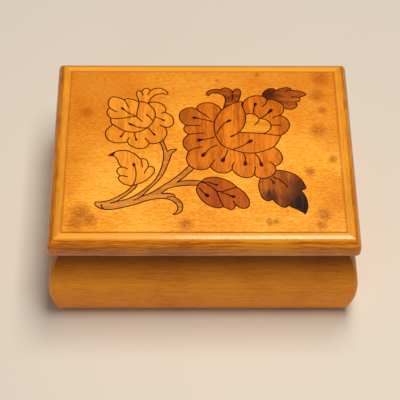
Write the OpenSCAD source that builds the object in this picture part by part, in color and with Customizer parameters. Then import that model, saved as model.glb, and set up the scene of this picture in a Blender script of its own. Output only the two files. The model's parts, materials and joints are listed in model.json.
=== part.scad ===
// Wind-up music box: a bombe wooden case with a marquetry lid, a lined well and an 18-note movement.
// Origin at the centre of the footprint on the table, +Z up, front at -Y, hinges at +Y.

/* [Case] */
// Width of the lid, left to right
lid_w = 140; // [138:1:150]
// Depth of the lid, front to back
lid_d = 105; // [103:1:112]
// Height of the closed box on its felt pads
box_h = 63.5; // [63:0.5:66]
// How far the belly of the case stands out past the lid
belly = 2; // [1:0.25:3]
// Height of the widest part of the belly
belly_z = 22; // [19:0.5:24]
// Height at which the belly turns into the hollow throat
throat_z = 45; // [43:0.5:46]
// Distance from the lid's edge in to the inner face of the walls
wall_in = 11.5; // [11:0.25:12]

/* [Lid] */
// Thickness of the lid at its edge
lid_t = 9.4; // [9.2:0.1:9.6]
// Width of the mitred edge strips
strip_w = 6.6; // [5.5:0.1:7]
// Width of the sloping round-over on the lid's top edge
round_w = 5.2; // [4:0.1:5.4]
// Drop of the round-over from the lid's face
round_h = 5.9; // [4:0.1:6.2]
// Radius of the lid's corners seen from above
corner_r = 2.2; // [1:0.1:3]
// Thickness of the face veneer and its inlay
veneer_t = 0.8; // [0.5:0.1:1.2]
// Width of the dark-filled saw kerf around the inlay
kerf = 0.55; // [0.3:0.05:0.6]

/* [Compartments] */
// Left face of the partition beside the movement
partition_x = -8.5; // [-8.5:0.1:-8]
// Thickness of the partition
partition_t = 3; // [2:0.5:4]
// Underside of the bottom board, which leaves room for the key
board_z = 14; // [13.8:0.1:14.2]
// Thickness of the lining in the well
lining_t = 1; // [0.8:0.1:1.5]
// Underside of the clear cover over the movement
pane_z = 44; // [43.8:0.1:44.5]

/* [Hinges] */
// Distance of each hinge from the middle of the lid
hinge_x = 38; // [30:1:45]
// Length of a hinge
hinge_len = 16; // [14:1:20]
// Radius of the hinge knuckles
knuckle_r = 1.6; // [1.4:0.05:1.6]

/* [Movement] */
// Number of comb teeth
notes = 18; // [16:1:18]
// Spacing of the comb teeth
note_pitch = 1; // [0.95:0.01:1]
// Radius of the pinned cylinder
cylinder_r = 6.6; // [6.2:0.1:6.6]
// Turns of the mainspring
spring_turns = 6; // [5:1:7]
// Number of pins on each track of the cylinder
pins_per_track = 6; // [4:1:8]

/* [Hidden] */
$fn = 64;

// ---- heights of the case and lid ----
pad_t = 0.6;
lid_z = box_h - lid_t;
case_top = lid_z - 0.2;
board_t = 3.5;
floor_z = board_z + board_t;
groove = 2;
inner_x = lid_w / 2 - wall_in;
inner_y = lid_d / 2 - wall_in;
panel_half_w = lid_w / 2 - strip_w;
panel_half_d = lid_d / 2 - strip_w;
fit = 0.01;

// ---- outline of a case wall: u is measured outward from the lid's edge ----
belly_low_r = 50;
belly_high_r = 60;
throat_r = 45;
outline_step = 1.5;
function high_u(z) = belly - belly_high_r + sqrt(pow(belly_high_r, 2) - pow(z - belly_z, 2));
function low_u(z) = belly - belly_low_r + sqrt(pow(belly_low_r, 2) - pow(belly_z - z, 2));
throat_slope = asin((throat_z - belly_z) / belly_high_r);
throat_centre = [high_u(throat_z) + throat_r * cos(throat_slope), throat_z + throat_r * sin(throat_slope)];
function throat_u(z) = throat_centre[0] - sqrt(pow(throat_r, 2) - pow(throat_centre[1] - z, 2));
function wall_u(z) = z < belly_z ? low_u(z) : z < throat_z ? high_u(z) : throat_u(z);

wall_ease = 0.4;
wall_outline = concat(
    [[-wall_in, pad_t], [wall_u(pad_t) - wall_ease, pad_t]],
    [for (z = [pad_t + wall_ease : outline_step : case_top - 0.2]) [wall_u(z), z]],
    [[wall_u(case_top), case_top], [-wall_in, case_top],
     [-wall_in, floor_z], [-wall_in + groove, floor_z], [-wall_in + groove, board_z], [-wall_in, board_z]]
);

// Frame members: an outline swept along one side and mitred at both ends.
// side 0 is the front, 1 the right, 2 the back and 3 the left.
module mitred_side(side, outline) {
    along = side % 2 == 0 ? lid_w : lid_d;
    across = side % 2 == 0 ? lid_d : lid_w;
    spare = 6;
    reach = wall_in + 2;
    rotate([0, 0, 90 * side])
        intersection() {
            translate([-along / 2 - spare, -across / 2, 0])
                rotate([90, 0, 90])
                    linear_extrude(along + 2 * spare)
                        mirror([1, 0])
                            polygon(outline);
            linear_extrude(box_h + 1)
                polygon([
                    [-along / 2 - spare, -across / 2 - spare], [along / 2 + spare, -across / 2 - spare],
                    [along / 2 - reach, -across / 2 + reach], [-along / 2 + reach, -across / 2 + reach]
                ]);
        }
}

module front_panel() {
    color("peru")
        mitred_side(0, wall_outline);
}

module left_panel() {
    color("peru")
        mitred_side(3, wall_outline);
}

module right_panel() {
    color("peru")
        mitred_side(1, wall_outline);
}

// ---- hinges ----
axis_y = lid_d / 2 - 3.8;
axis_z = lid_z - knuckle_r - 0.1;
pin_r = 0.7;
leaf_t = 0.7;
leaf_reach = 7;
knuckle_gap = 0.3;
lid_knuckle = hinge_len * 0.36;
leaf_screw_y = axis_y - 4.3;
leaf_screw_x = hinge_len / 2 - 3;
head_r = 1.25;
wood_screw_r = 0.6;
wood_pilot_r = 0.45;
wood_screw_len = 5;

module at_hinges() {
    for (side = [-1, 1])
        translate([side * hinge_x, 0, 0])
            children();
}

// A bar of the given length along X, centred
module along_x(length) {
    translate([-length / 2, 0, 0])
        rotate([90, 0, 90])
            linear_extrude(length)
                children();
}

module at_leaf_screws(z) {
    at_hinges()
        for (side = [-1, 1])
            translate([side * leaf_screw_x, leaf_screw_y, z])
                children();
}

// Countersunk wood screw with its head up, its face at z = 0
module wood_screw() {
    translate([0, 0, -leaf_t])
        cylinder(r1 = wood_screw_r, r2 = head_r, h = leaf_t);
    translate([0, 0, -leaf_t - wood_screw_len + 1])
        cylinder(r = wood_screw_r, h = wood_screw_len - 1 + 0.001);
    translate([0, 0, -leaf_t - wood_screw_len])
        cylinder(r1 = 0.15, r2 = wood_screw_r, h = 1);
}

module screw_slot(r, h) {
    translate([-r - 1, -0.2, -h])
        cube([2 * r + 2, 0.4, h + 1]);
}

module leaf_hole() {
    translate([0, 0, -leaf_t])
        cylinder(r1 = wood_screw_r + 0.05, r2 = head_r + 0.05, h = leaf_t);
    translate([0, 0, -leaf_t - 1])
        cylinder(r = wood_screw_r + 0.05, h = leaf_t + 2);
}

module case_hinge_leaves() {
    color("goldenrod")
        difference() {
            at_hinges() {
                difference() {
                    union() {
                        along_x(hinge_len)
                            translate([axis_y, axis_z])
                                circle(r = knuckle_r);
                        translate([-hinge_len / 2, axis_y - leaf_reach, case_top - leaf_t])
                            cube([hinge_len, leaf_reach, leaf_t]);
                    }
                    translate([-lid_knuckle / 2 - knuckle_gap, axis_y - knuckle_r - 0.5, axis_z - 3])
                        cube([lid_knuckle + 2 * knuckle_gap, 4, 6]);
                    along_x(hinge_len + 2)
                        translate([axis_y, axis_z])
                            circle(r = pin_r + 0.02);
                }
            }
            at_leaf_screws(case_top)
                leaf_hole();
        }
}

module lid_hinge_leaves() {
    web_w = 2;
    color("goldenrod")
        difference() {
            at_hinges() {
                difference() {
                    union() {
                        along_x(lid_knuckle)
                            translate([axis_y, axis_z])
                                circle(r = knuckle_r);
                        translate([-lid_knuckle / 2, axis_y - web_w, axis_z + 0.9])
                            cube([lid_knuckle, web_w, lid_z + leaf_t - axis_z - 0.9]);
                        translate([-hinge_len / 2, axis_y - leaf_reach, lid_z])
                            cube([hinge_len, leaf_reach, leaf_t]);
                    }
                    along_x(hinge_len + 2)
                        translate([axis_y, axis_z])
                            circle(r = pin_r + 0.06);
                }
            }
            at_leaf_screws(lid_z)
                mirror([0, 0, 1])
                    leaf_hole();
        }
}

module hinge_pins() {
    color("gold")
        at_hinges()
            along_x(hinge_len)
                translate([axis_y, axis_z])
                    circle(r = pin_r);
}

module case_hinge_screws() {
    color("gold")
        difference() {
            at_leaf_screws(case_top)
                wood_screw();
            at_leaf_screws(case_top)
                screw_slot(head_r, 0.3);
        }
}

module lid_hinge_screws() {
    color("gold")
        difference() {
            at_leaf_screws(lid_z)
                mirror([0, 0, 1])
                    wood_screw();
            at_leaf_screws(lid_z)
                mirror([0, 0, 1])
                    screw_slot(head_r, 0.3);
        }
}

module back_panel() {
    relief_r = 2;
    color("peru")
        difference() {
            mitred_side(2, wall_outline);
            at_hinges() {
                along_x(hinge_len + 0.6)
                    translate([axis_y, axis_z])
                        circle(r = relief_r);
                translate([-hinge_len / 2, axis_y - leaf_reach, case_top - leaf_t])
                    cube([hinge_len, leaf_reach + 2, leaf_t + 1]);
            }
            at_leaf_screws(case_top - leaf_t - wood_screw_len)
                cylinder(r = wood_pilot_r, h = wood_screw_len + 1);
        }
}

// ---- lid ----
strip_ease = 0.5;
strip_groove = 0.4;
strip_outline = concat(
    [[-strip_w, 0], [-strip_ease, 0]],
    [for (a = [-60 : 30 : 0]) [-strip_ease + strip_ease * cos(a), strip_ease + strip_ease * sin(a)]],
    [for (a = [0 : 6 : 90]) [-round_w + round_w * cos(a), lid_t - round_h + round_h * sin(a)]],
    [[-strip_w + strip_groove, lid_t], [-strip_w, lid_t - strip_groove]]
);

module lid_strip(side) {
    half_w = lid_w / 2 - corner_r;
    half_d = lid_d / 2 - corner_r;
    color("sienna")
        translate([0, 0, lid_z])
            intersection() {
                mitred_side(side, strip_outline);
                translate([0, 0, -1])
                    linear_extrude(lid_t + 2)
                        polygon([for (c = [[half_w, half_d, 0], [-half_w, half_d, 90], [-half_w, -half_d, 180],
                                           [half_w, -half_d, 270]])
                            for (a = [0 : 10 : 90])
                                [c[0], c[1]] + corner_r * [cos(a + c[2]), sin(a + c[2])]]);
            }
}

module hinge_mortises() {
    at_hinges()
        translate([-hinge_len / 2, axis_y - leaf_reach, lid_z - 1])
            cube([hinge_len, leaf_reach, leaf_t + 1]);
}

module lid_front_strip() {
    lid_strip(0);
}

module lid_right_strip() {
    lid_strip(1);
}

module lid_back_strip() {
    color("sienna")
        difference() {
            lid_strip(2);
            hinge_mortises();
        }
}

module lid_left_strip() {
    lid_strip(3);
}

module lid_core() {
    color("tan")
        difference() {
            translate([-panel_half_w, -panel_half_d, lid_z])
                cube([2 * panel_half_w, 2 * panel_half_d, lid_t - veneer_t]);
            hinge_mortises();
            at_leaf_screws(lid_z)
                cylinder(r = wood_pilot_r, h = leaf_t + wood_screw_len);
        }
}

module lid_lining() {
    clear = 1;
    color("darkred")
        translate([-inner_x + clear, -inner_y + clear, lid_z - lining_t])
            cube([2 * (inner_x - clear), 2 * (inner_y - clear), lining_t]);
}

// ---- marquetry: smooth curves through hand-placed points ----
curve_steps = 2;
drop_steps = 5;

function tangent(p, i) = (p[min(i + 1, len(p) - 1)] - p[max(i - 1, 0)]) / 2;
function between(a, b, ta, tb, u) =
    (2 * pow(u, 3) - 3 * pow(u, 2) + 1) * a + (pow(u, 3) - 2 * pow(u, 2) + u) * ta
    + (3 * pow(u, 2) - 2 * pow(u, 3)) * b + (pow(u, 3) - pow(u, 2)) * tb;
function span(p, i, n) =
    [for (k = [0 : n - 1]) between(p[i], p[i + 1], tangent(p, i), tangent(p, i + 1), k / n)];
function open_curve(p) = [for (i = [0 : len(p) - 2]) each span(p, i, curve_steps)];
function curve(p) = concat(open_curve(p), [p[len(p) - 1]]);

// A closed outline made of strokes that meet at corners
function outline(strokes) = [for (s = strokes) each open_curve(s)];

function normal(p, i) =
    let (d = p[min(i + 1, len(p) - 1)] - p[max(i - 1, 0)]) [-d[1], d[0]] / norm(d);
function ribbon(p, w) = concat(
    [for (i = [0 : len(p) - 1]) p[i] + normal(p, i) * w[i] / 2],
    [for (i = [len(p) - 1 : -1 : 0]) p[i] - normal(p, i) * w[i] / 2]
);

// A dark line that ends inside a petal
module line_mark(p, w = kerf) {
    path = curve(p);
    polygon(ribbon(path, [for (q = path) w]));
    for (end = [p[0], p[len(p) - 1]])
        translate(end)
            circle(d = w, $fn = 8);
}

// A vein whose last stretch swells into a drop
drop_peak = 0.62;
function drop_width(u, w) = u < drop_peak
    ? kerf + (w - kerf) * (3 * pow(u / drop_peak, 2) - 2 * pow(u / drop_peak, 3))
    : kerf / 2 + (w - kerf / 2) * sqrt(1 - pow((u - drop_peak) / (1 - drop_peak), 2));
module vein(p, w) {
    last = len(p) - 2;
    stalk = [for (i = [0 : last - 1]) each span(p, i, curve_steps)];
    head = concat(span(p, last, drop_steps), [p[last + 1]]);
    widths = concat([for (q = stalk) kerf], [for (k = [0 : drop_steps]) drop_width(k / drop_steps, w)]);
    polygon(ribbon(concat(stalk, head), widths));
}

stems_outline = [
    // upper edge of the leaf stalk
    [[-48.6, -29.7], [-46.6, -29.8], [-43.9, -29.3], [-40.9, -28.1], [-38, -26.2], [-35.2, -24.2],
     [-33.6, -22.3], [-32.6, -20.9], [-32, -19]],
    [[-32, -19], [-30.2, -19]],
    // lower edge of the leaf stalk
    [[-30.2, -19], [-30.8, -21.7], [-33, -24.2], [-35.9, -26.8], [-38.4, -28.7], [-39.4, -29.4]],
    // left edge of the stalk to the small rose
    [[-39.4, -29.4], [-36.9, -29], [-33.1, -27.5], [-29.1, -24.8], [-25.5, -21.5], [-22.8, -18.7],
     [-20.8, -14.9], [-19.4, -11], [-18.6, -6.8], [-18.4, -4], [-18.7, -1], [-19.4, 1.6], [-20.3, 3.2],
     [-21, 5]],
    [[-21, 5], [-18.9, 5.5]],
    // right edge of that stalk, with its thorn
    [[-18.9, 5.5], [-18.7, 4.4], [-18, 2.2], [-17.2, 0], [-16.8, -1.7]],
    [[-16.8, -1.7], [-15.6, -0.9], [-13.8, -0.4], [-12.4, -0.6]],
    [[-12.4, -0.6], [-13.6, -1.8], [-14.7, -3.1], [-15.4, -5.6], [-16.3, -8.5], [-17.5, -12.1],
     [-19.2, -15.9], [-21.6, -19.1], [-24.4, -22.4], [-27, -25.4], [-28.2, -26.8]],
    // upper edge of the main stalk
    [[-28.2, -26.8], [-25, -25.4], [-21.9, -23.4], [-18.4, -20.7], [-15, -18.1], [-11.6, -15.1],
     [-9.1, -12.4], [-6.9, -9.9], [-5.5, -8]],
    [[-5.5, -8], [-3.5, -9.8]],
    [[-3.5, -9.8], [-5, -12], [-7.2, -14.4], [-9.4, -16.6], [-12.2, -19]],
    // stalk to the bud leaf
    [[-12.2, -19], [-10.3, -18.3], [-7.5, -18.1], [-4, -18.1], [-1, -18.3], [1, -19]],
    [[1, -19], [1, -20.8]],
    [[1, -20.8], [-3.5, -20.6], [-7, -20.7], [-10.4, -20.9], [-14.1, -21.7], [-16.4, -22.6],
     [-18, -23.9], [-19.2, -25.1]],
    // thorn and curl
    [[-19.2, -25.1], [-16.6, -25.1], [-14.4, -25.4], [-13.1, -26.2], [-13.4, -27]],
    [[-13.4, -27], [-12.2, -27.9], [-10.6, -29.3], [-9.7, -31.2], [-9.7, -33.4], [-10.5, -35.2],
     [-12.2, -36.2], [-13.9, -36.4]],
    [[-13.9, -36.4], [-12.2, -34.7], [-11.8, -33], [-12.3, -31.1], [-14.1, -29.3], [-16.3, -28.2],
     [-18.8, -27.8], [-22, -28.1], [-25.4, -28.9], [-30, -30.7], [-35, -32.3], [-40, -33.5],
     [-43.4, -33.9], [-45.9, -33.4], [-48, -32.3], [-49.1, -30.9], [-48.6, -29.7]]
];

module stems_marks() {
    line_mark([[-28.2, -26.8], [-29.7, -27.9], [-31.7, -28.8]]);
    line_mark([[-39.4, -29.4], [-40.6, -30], [-42.2, -30.4]]);
    line_mark([[-46.1, -31], [-46, -32.1], [-45.3, -33.3]], 0.6);
    line_mark([[-16.8, -27.2], [-15, -26.9], [-13.4, -27]]);
}

left_leaf_outline = [
    [[-43.7, -4.1], [-42.3, -2.9], [-40, -1.7], [-37, -1.2], [-34.5, -1.7], [-32, -3.1], [-30, -4.9],
     [-28.9, -6.3]],
    [[-28.9, -6.3], [-28, -5.8], [-26.8, -6.1], [-25.8, -7.4], [-25.4, -9.2], [-25.5, -10.7]],
    [[-25.5, -10.7], [-24.4, -10.2], [-23.2, -10.7], [-22.5, -12.1], [-22.8, -13.8], [-24.4, -16],
     [-26.9, -18.5], [-29.6, -19.9]],
    [[-29.6, -19.9], [-31, -20.4], [-32.6, -20.9]],
    [[-32.6, -20.9], [-34.5, -20.7], [-36.5, -19.9], [-38.3, -18.1], [-38.9, -16.5], [-38.1, -15.4]],
    [[-38.1, -15.4], [-39.2, -14.3], [-39.7, -12.8], [-39.2, -11.3], [-38, -10.7], [-37.4, -10.6]],
    [[-37.4, -10.6], [-38.7, -9.2], [-39.5, -6.9], [-40.3, -5.2], [-41.6, -4.3], [-43.7, -4.1]]
];

module left_leaf_marks() {
    line_mark([[-38.1, -15.4], [-36.5, -15.5], [-34.7, -16]]);
    line_mark([[-37.4, -10.6], [-36, -11], [-34.8, -11.8]], 0.55);
    line_mark([[-28.9, -6.3], [-28.4, -8.4], [-28.1, -10.7]]);
    line_mark([[-25.5, -10.8], [-26.5, -12.3], [-27.1, -14]]);
    line_mark([[-30.2, -20.1], [-32.6, -20.9]]);
    vein([[-32.4, -20.9], [-31.4, -18.6], [-30.9, -15.6], [-31.1, -12.4], [-31.5, -10.6], [-32.3, -8.4]], 1.5);
    // scorched tip
    polygon(outline([
        [[-43.7, -4.1], [-42.3, -2.9], [-40.6, -2]],
        [[-40.6, -2], [-41, -3.2], [-41.6, -4.3]],
        [[-41.6, -4.3], [-43.7, -4.1]]
    ]));
}

bud_leaf_outline = [
    [[-2.7, -20.2], [-1, -18.5], [0.2, -17.3], [2, -16.5], [4.4, -16.2], [7, -16.5], [9.4, -17.4],
     [11.8, -18.7], [13.6, -20.2], [14.9, -21.7]],
    [[14.9, -21.7], [16.8, -23.2], [18.6, -25.2], [19.8, -27.4], [20.4, -29.6], [20.1, -31.8],
     [19, -33], [17.5, -33.2], [15.8, -32.6], [14.2, -31.2]],
    [[14.2, -31.2], [13.7, -32.6], [12.9, -33.6], [11.8, -33.8], [10.6, -33.3], [8.8, -32.3]],
    [[8.8, -32.3], [7, -32.9], [4.8, -32.7], [2, -31.4], [-0.4, -29.4], [-2.3, -26.6], [-3.3, -24],
     [-3.3, -22], [-2.7, -20.2]]
];

module bud_leaf_marks() {
    line_mark([[14.9, -21.7], [12.6, -22.4], [10.4, -23.3], [8.6, -24.1], [7, -24.1], [5.5, -23.6]], 0.6);
    line_mark([[-1.4, -18.9], [0.4, -19.4], [2.4, -20.8], [4.2, -22.3], [5.5, -23.7], [6.2, -25.6],
               [7, -28], [7.8, -30.3], [8.8, -32.3]], 0.55);
    line_mark([[14.2, -31.2], [13.7, -30.2], [13.1, -29.2]]);
    vein([[-1, -19], [1.8, -18.9], [4.2, -19.9], [6.5, -20.6]], 1);
    vein([[8, -24.7], [10.3, -25.4], [11.6, -26.2], [14.2, -27.2]], 1.6);
    vein([[-2.3, -21.8], [-1.2, -23.6], [0, -24.9], [2.2, -27]], 1.8);
}

dark_leaf_outline = [
    [[27, -15.5], [25.8, -17], [25.1, -19.2], [24.9, -22], [25.6, -25.4], [26.8, -28], [28.6, -29.2],
     [30.1, -28.7], [30.8, -28.1]],
    [[30.8, -28.1], [32.4, -30.2], [34.6, -32], [36.4, -32.6], [37.5, -32], [38, -31.3]],
    [[38, -31.3], [39.6, -32.6], [42.3, -33.9], [44.2, -35.2], [45.1, -36.2]],
    [[45.1, -36.2], [46, -34.5], [46.6, -32], [46.4, -29.2], [45.7, -26.4], [44.5, -24.3], [43.7, -23.3]],
    [[43.7, -23.3], [45.2, -23], [46.2, -22.1], [45.8, -20.3], [44.8, -18.2], [43.1, -16], [41, -14.3],
     [37.5, -12.9], [35, -12.4], [33.2, -12.5]],
    [[33.2, -12.5], [31, -12.5], [29, -13.5], [27, -15.5]]
];

module dark_leaf_marks() {
    line_mark([[31.6, -16.1], [34.4, -17.4], [36.6, -19.6], [38.1, -21.8]], 0.55);
    vein([[30.3, -17], [31, -18], [31.3, -18.6], [32, -20]], 0.9);
    line_mark([[29.3, -23.5], [29.5, -25.6]], 0.5);
}

small_sepal_outline = [
    [[-30.2, 26.4], [-30.8, 28.9], [-31.4, 31], [-31.8, 32.8], [-31.1, 33.9], [-30.2, 33.9], [-29.2, 33]],
    [[-29.2, 33], [-28.8, 34.3], [-27.9, 35.2], [-26.8, 35.4], [-25.8, 34.8], [-25.2, 33.6]],
    [[-25.2, 33.6], [-24.1, 34.7], [-22.3, 35.4], [-20.6, 35.5], [-18.8, 34.8], [-17.4, 33.8],
     [-16.6, 32.3]],
    [[-16.6, 32.3], [-17.3, 31.8], [-19.4, 32.2], [-21.7, 31.9], [-23.6, 30.7], [-24.9, 28.9],
     [-25.8, 27]],
    [[-25.8, 27], [-26, 25.4]],
    [[-26, 25.4], [-28, 25.6], [-30.2, 26.4]]
];

module small_sepal_marks() {
    line_mark([[-29.2, 33], [-28.9, 32.2], [-28.6, 31.3]]);
    line_mark([[-25.2, 33.6], [-25.8, 32.3], [-26.3, 31.4]]);
}

// horned sepal over the bud
horned_sepal_outline = [
    [[2.8, 31.1], [1.7, 31.4], [1.9, 32.9], [3.2, 34.2], [5.4, 34.8], [7.4, 34.8], [8.6, 34.6]],
    [[8.6, 34.6], [9.3, 35.4], [10.8, 35.8], [12.5, 35.2], [13.7, 34.1], [14.1, 33.3]],
    [[14.1, 33.3], [15, 34.6], [16.5, 35.1], [17.7, 34.5], [18.1, 33.2], [17.7, 30.5], [17, 28.2],
     [16.4, 26.2]],
    [[16.4, 26.2], [13, 23.6], [9.2, 22]],
    [[9.2, 22], [10, 24.8], [10.6, 27.5], [10.6, 29.3], [9.9, 31], [8.4, 32.1], [6.4, 32.6],
     [4.4, 32.5], [3.3, 31.9], [2.8, 31.1]]
];

// lobed leaf over the top petals
top_leaf_outline = [
    [[28.5, 30.4], [28.5, 32.2], [29.8, 34], [31.5, 35.2], [33.4, 35.4], [34.5, 34.7], [34.4, 33.9]],
    [[34.4, 33.9], [36.5, 35.1], [39, 35.9], [41, 35.9], [42.2, 35.2], [42.2, 34.4]],
    [[42.2, 34.4], [45, 34.1], [47.4, 33.4], [49, 32.4]],
    [[49, 32.4], [49.1, 31.6], [47.5, 30.7], [45.7, 30.1]],
    [[45.7, 30.1], [46.2, 29.1], [45.9, 27.9], [45, 27.4], [43.9, 27.2]],
    [[43.9, 27.2], [44.5, 26.3], [44.5, 25], [43.6, 23.8], [42, 23], [40, 23.1], [38.4, 23.9]],
    [[38.4, 23.9], [36, 24], [33, 26.5], [30, 28], [28.5, 30.4]]
];

module dark_sepals_marks() {
    line_mark([[14.1, 33.3], [14, 31], [14.4, 29]]);
    line_mark([[42.2, 34.4], [40.8, 34.2], [39.3, 33.8]]);
    line_mark([[45.7, 30.1], [44, 30.2], [42.2, 30.4]]);
    line_mark([[34.4, 33.9], [33.8, 33.3], [33, 32.8]]);
}

small_rose_outline = [
    [[-37.5, 28.5], [-35.8, 29.1], [-33.5, 28.7], [-31.8, 27.9], [-30.4, 27.2]],
    [[-30.4, 27.2], [-28.2, 27.2], [-25.8, 26.2]],
    [[-25.8, 26.2], [-24.6, 27], [-22.8, 27.1], [-20.9, 26.6], [-19.1, 25.6], [-18, 24.2], [-17.5, 22.5],
     [-18.2, 21]],
    [[-18.2, 21], [-16.3, 20.1], [-14.6, 18.3], [-13.8, 16], [-14.1, 13.9], [-15.5, 12.5],
     [-17.2, 12.1], [-18.4, 12.5]],
    [[-18.4, 12.5], [-17.3, 10.8], [-17, 8.8], [-17.4, 7], [-18.6, 5], [-20.4, 3.4], [-23, 2.6],
     [-25.2, 2.8]],
    [[-25.2, 2.8], [-25.4, 2], [-26.4, 0.7], [-28, -0.2], [-30.5, 0], [-33.1, 1], [-34.6, 2.4],
     [-35.2, 3.7]],
    [[-35.2, 3.7], [-36.9, 3.2], [-39.1, 3.1], [-41.5, 3.3], [-43.8, 4.5], [-45.2, 6.4], [-45.7, 9],
     [-44.8, 11.2], [-42.6, 13.5]],
    [[-42.6, 13.5], [-43.5, 15.8], [-43.5, 17.6]],
    [[-43.5, 17.6], [-44.8, 19], [-45.4, 20.8], [-45.1, 22.5], [-44.2, 23.8]],
    [[-44.2, 23.8], [-45, 25.6], [-44.8, 27.8], [-43.8, 29.6], [-42.4, 30.3], [-40, 29.6], [-37.5, 28.5]]
];

module small_rose_marks() {
    line_mark([[-44.2, 23.8], [-43, 22.6], [-41.8, 21.7], [-40.7, 21.2]]);
    line_mark([[-37.5, 28.5], [-36.6, 27], [-35.9, 25.6], [-35.3, 23.9]]);
    line_mark([[-43.5, 17.6], [-41.4, 17.2], [-38.5, 17.4], [-35, 18.1], [-33, 18.3], [-31.4, 18.7]]);
    line_mark([[-30.4, 27.2], [-30.5, 25], [-31, 22], [-31.3, 19.5], [-31, 17.9], [-29.7, 16.7],
               [-28.6, 15.5]], 0.55);
    line_mark([[-26, 26.2], [-24.6, 24.4], [-23, 22.2], [-22.5, 20], [-22.7, 18], [-23.5, 15.7],
               [-24.6, 13.6], [-25.9, 12]]);
    line_mark([[-42.6, 13.9], [-40.2, 12.2], [-38, 10.7], [-35.6, 9.7], [-32.6, 9.2], [-30, 9.6],
               [-28.2, 10.5], [-25.9, 12]]);
    line_mark([[-18.2, 21], [-18.9, 20.7], [-19.6, 20.7]]);
    line_mark([[-18.4, 12.5], [-19.2, 12.9], [-20.2, 13.2]]);
    line_mark([[-25.2, 2.8], [-25.7, 4], [-27.1, 5.9]]);
    line_mark([[-35.2, 3.7], [-35.1, 5.1], [-34.5, 6.2]]);
    vein([[-31.6, 18.7], [-33.4, 19.6], [-35.5, 20.8], [-36.6, 21.9], [-38.9, 23.9]], 1.1);
    vein([[-25.9, 12], [-28, 11.7], [-30.3, 12.1], [-31.9, 12.8], [-35.2, 14.5]], 1.1);
    vein([[-23.6, 16.1], [-24.8, 17.6], [-25.6, 18.6], [-26.8, 19.8]], 0.9);
    vein([[-22.5, 18.2], [-20.9, 17.5], [-19.9, 16.9], [-18, 16]], 1);
    vein([[-25.8, 12], [-24.6, 10.2], [-23.7, 9], [-22.4, 7.4]], 1.1);
    vein([[-32, 9.2], [-31.9, 7.3], [-31.6, 6.2], [-31, 4.3]], 1.1);
    vein([[-36.6, 9.8], [-37.2, 8.6], [-37.7, 7.8], [-38.8, 6.2]], 1.1);
}

rose_petals_outline = [
    [[-3.1, 23], [-2.6, 24.7], [-1.1, 26], [1, 26.7], [3.5, 26.7], [6, 25.7], [7.8, 24.1], [8.7, 22.4]],
    // hidden under the bud and the heart
    [[8.7, 22.4], [14, 24], [18.8, 26.5]],
    [[18.8, 26.5], [20.1, 28.5], [22.2, 30.2], [25, 31], [27.5, 30.9], [29.2, 30.3], [30.6, 28.8]],
    [[30.6, 28.8], [32.7, 28.9], [35, 28.1], [37, 26.5], [38.1, 24.9], [38.3, 23], [37.5, 20.8],
     [36.2, 19.2]],
    [[36.2, 19.2], [38.4, 18.2], [39.9, 16.3], [40.5, 14], [40.1, 11.7], [38.6, 9.4], [36.1, 7.4]],
    [[36.1, 7.4], [34, 4], [32.4, 0.9]],
    [[32.4, 0.9], [34.4, -0.6], [35.8, -2.9], [36.4, -5.2], [35.9, -7.4], [34.6, -9.1], [32.7, -10]],
    [[32.7, -10], [33.1, -12.4], [31.9, -14.5], [30.2, -16], [28, -16.8], [25.8, -16.7], [24, -15.8],
     [23.2, -14.5]],
    [[23.2, -14.5], [22.2, -15.8], [20, -16.4], [17.3, -16.1], [15.2, -14.7], [13.8, -13.2], [13, -11.8]],
    [[13, -11.8], [12.1, -12.9], [10.5, -13.7], [8, -13.9], [5.6, -13.1], [3.9, -11.7], [3, -10.3]],
    [[3, -10.3], [1.5, -11.5], [-1.5, -12.1], [-4.5, -11.3], [-6.7, -9.5], [-7.7, -7], [-7.8, -4.6],
     [-6.8, -1.7]],
    [[-6.8, -1.7], [-7.8, -0.8], [-8.9, 0.7], [-9.4, 2.5], [-9.3, 4.6], [-8.3, 6.5], [-6.9, 8]],
    [[-6.9, 8], [-8.3, 9.3], [-9.1, 10.9], [-8.9, 12.3], [-8.1, 13.4]],
    [[-8.1, 13.4], [-9.9, 15], [-10.9, 16.8], [-11.3, 18.8], [-10.8, 20.9], [-9.2, 22.7], [-6.6, 23.8],
     [-4.6, 23.6], [-3.1, 23]]
];

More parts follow.
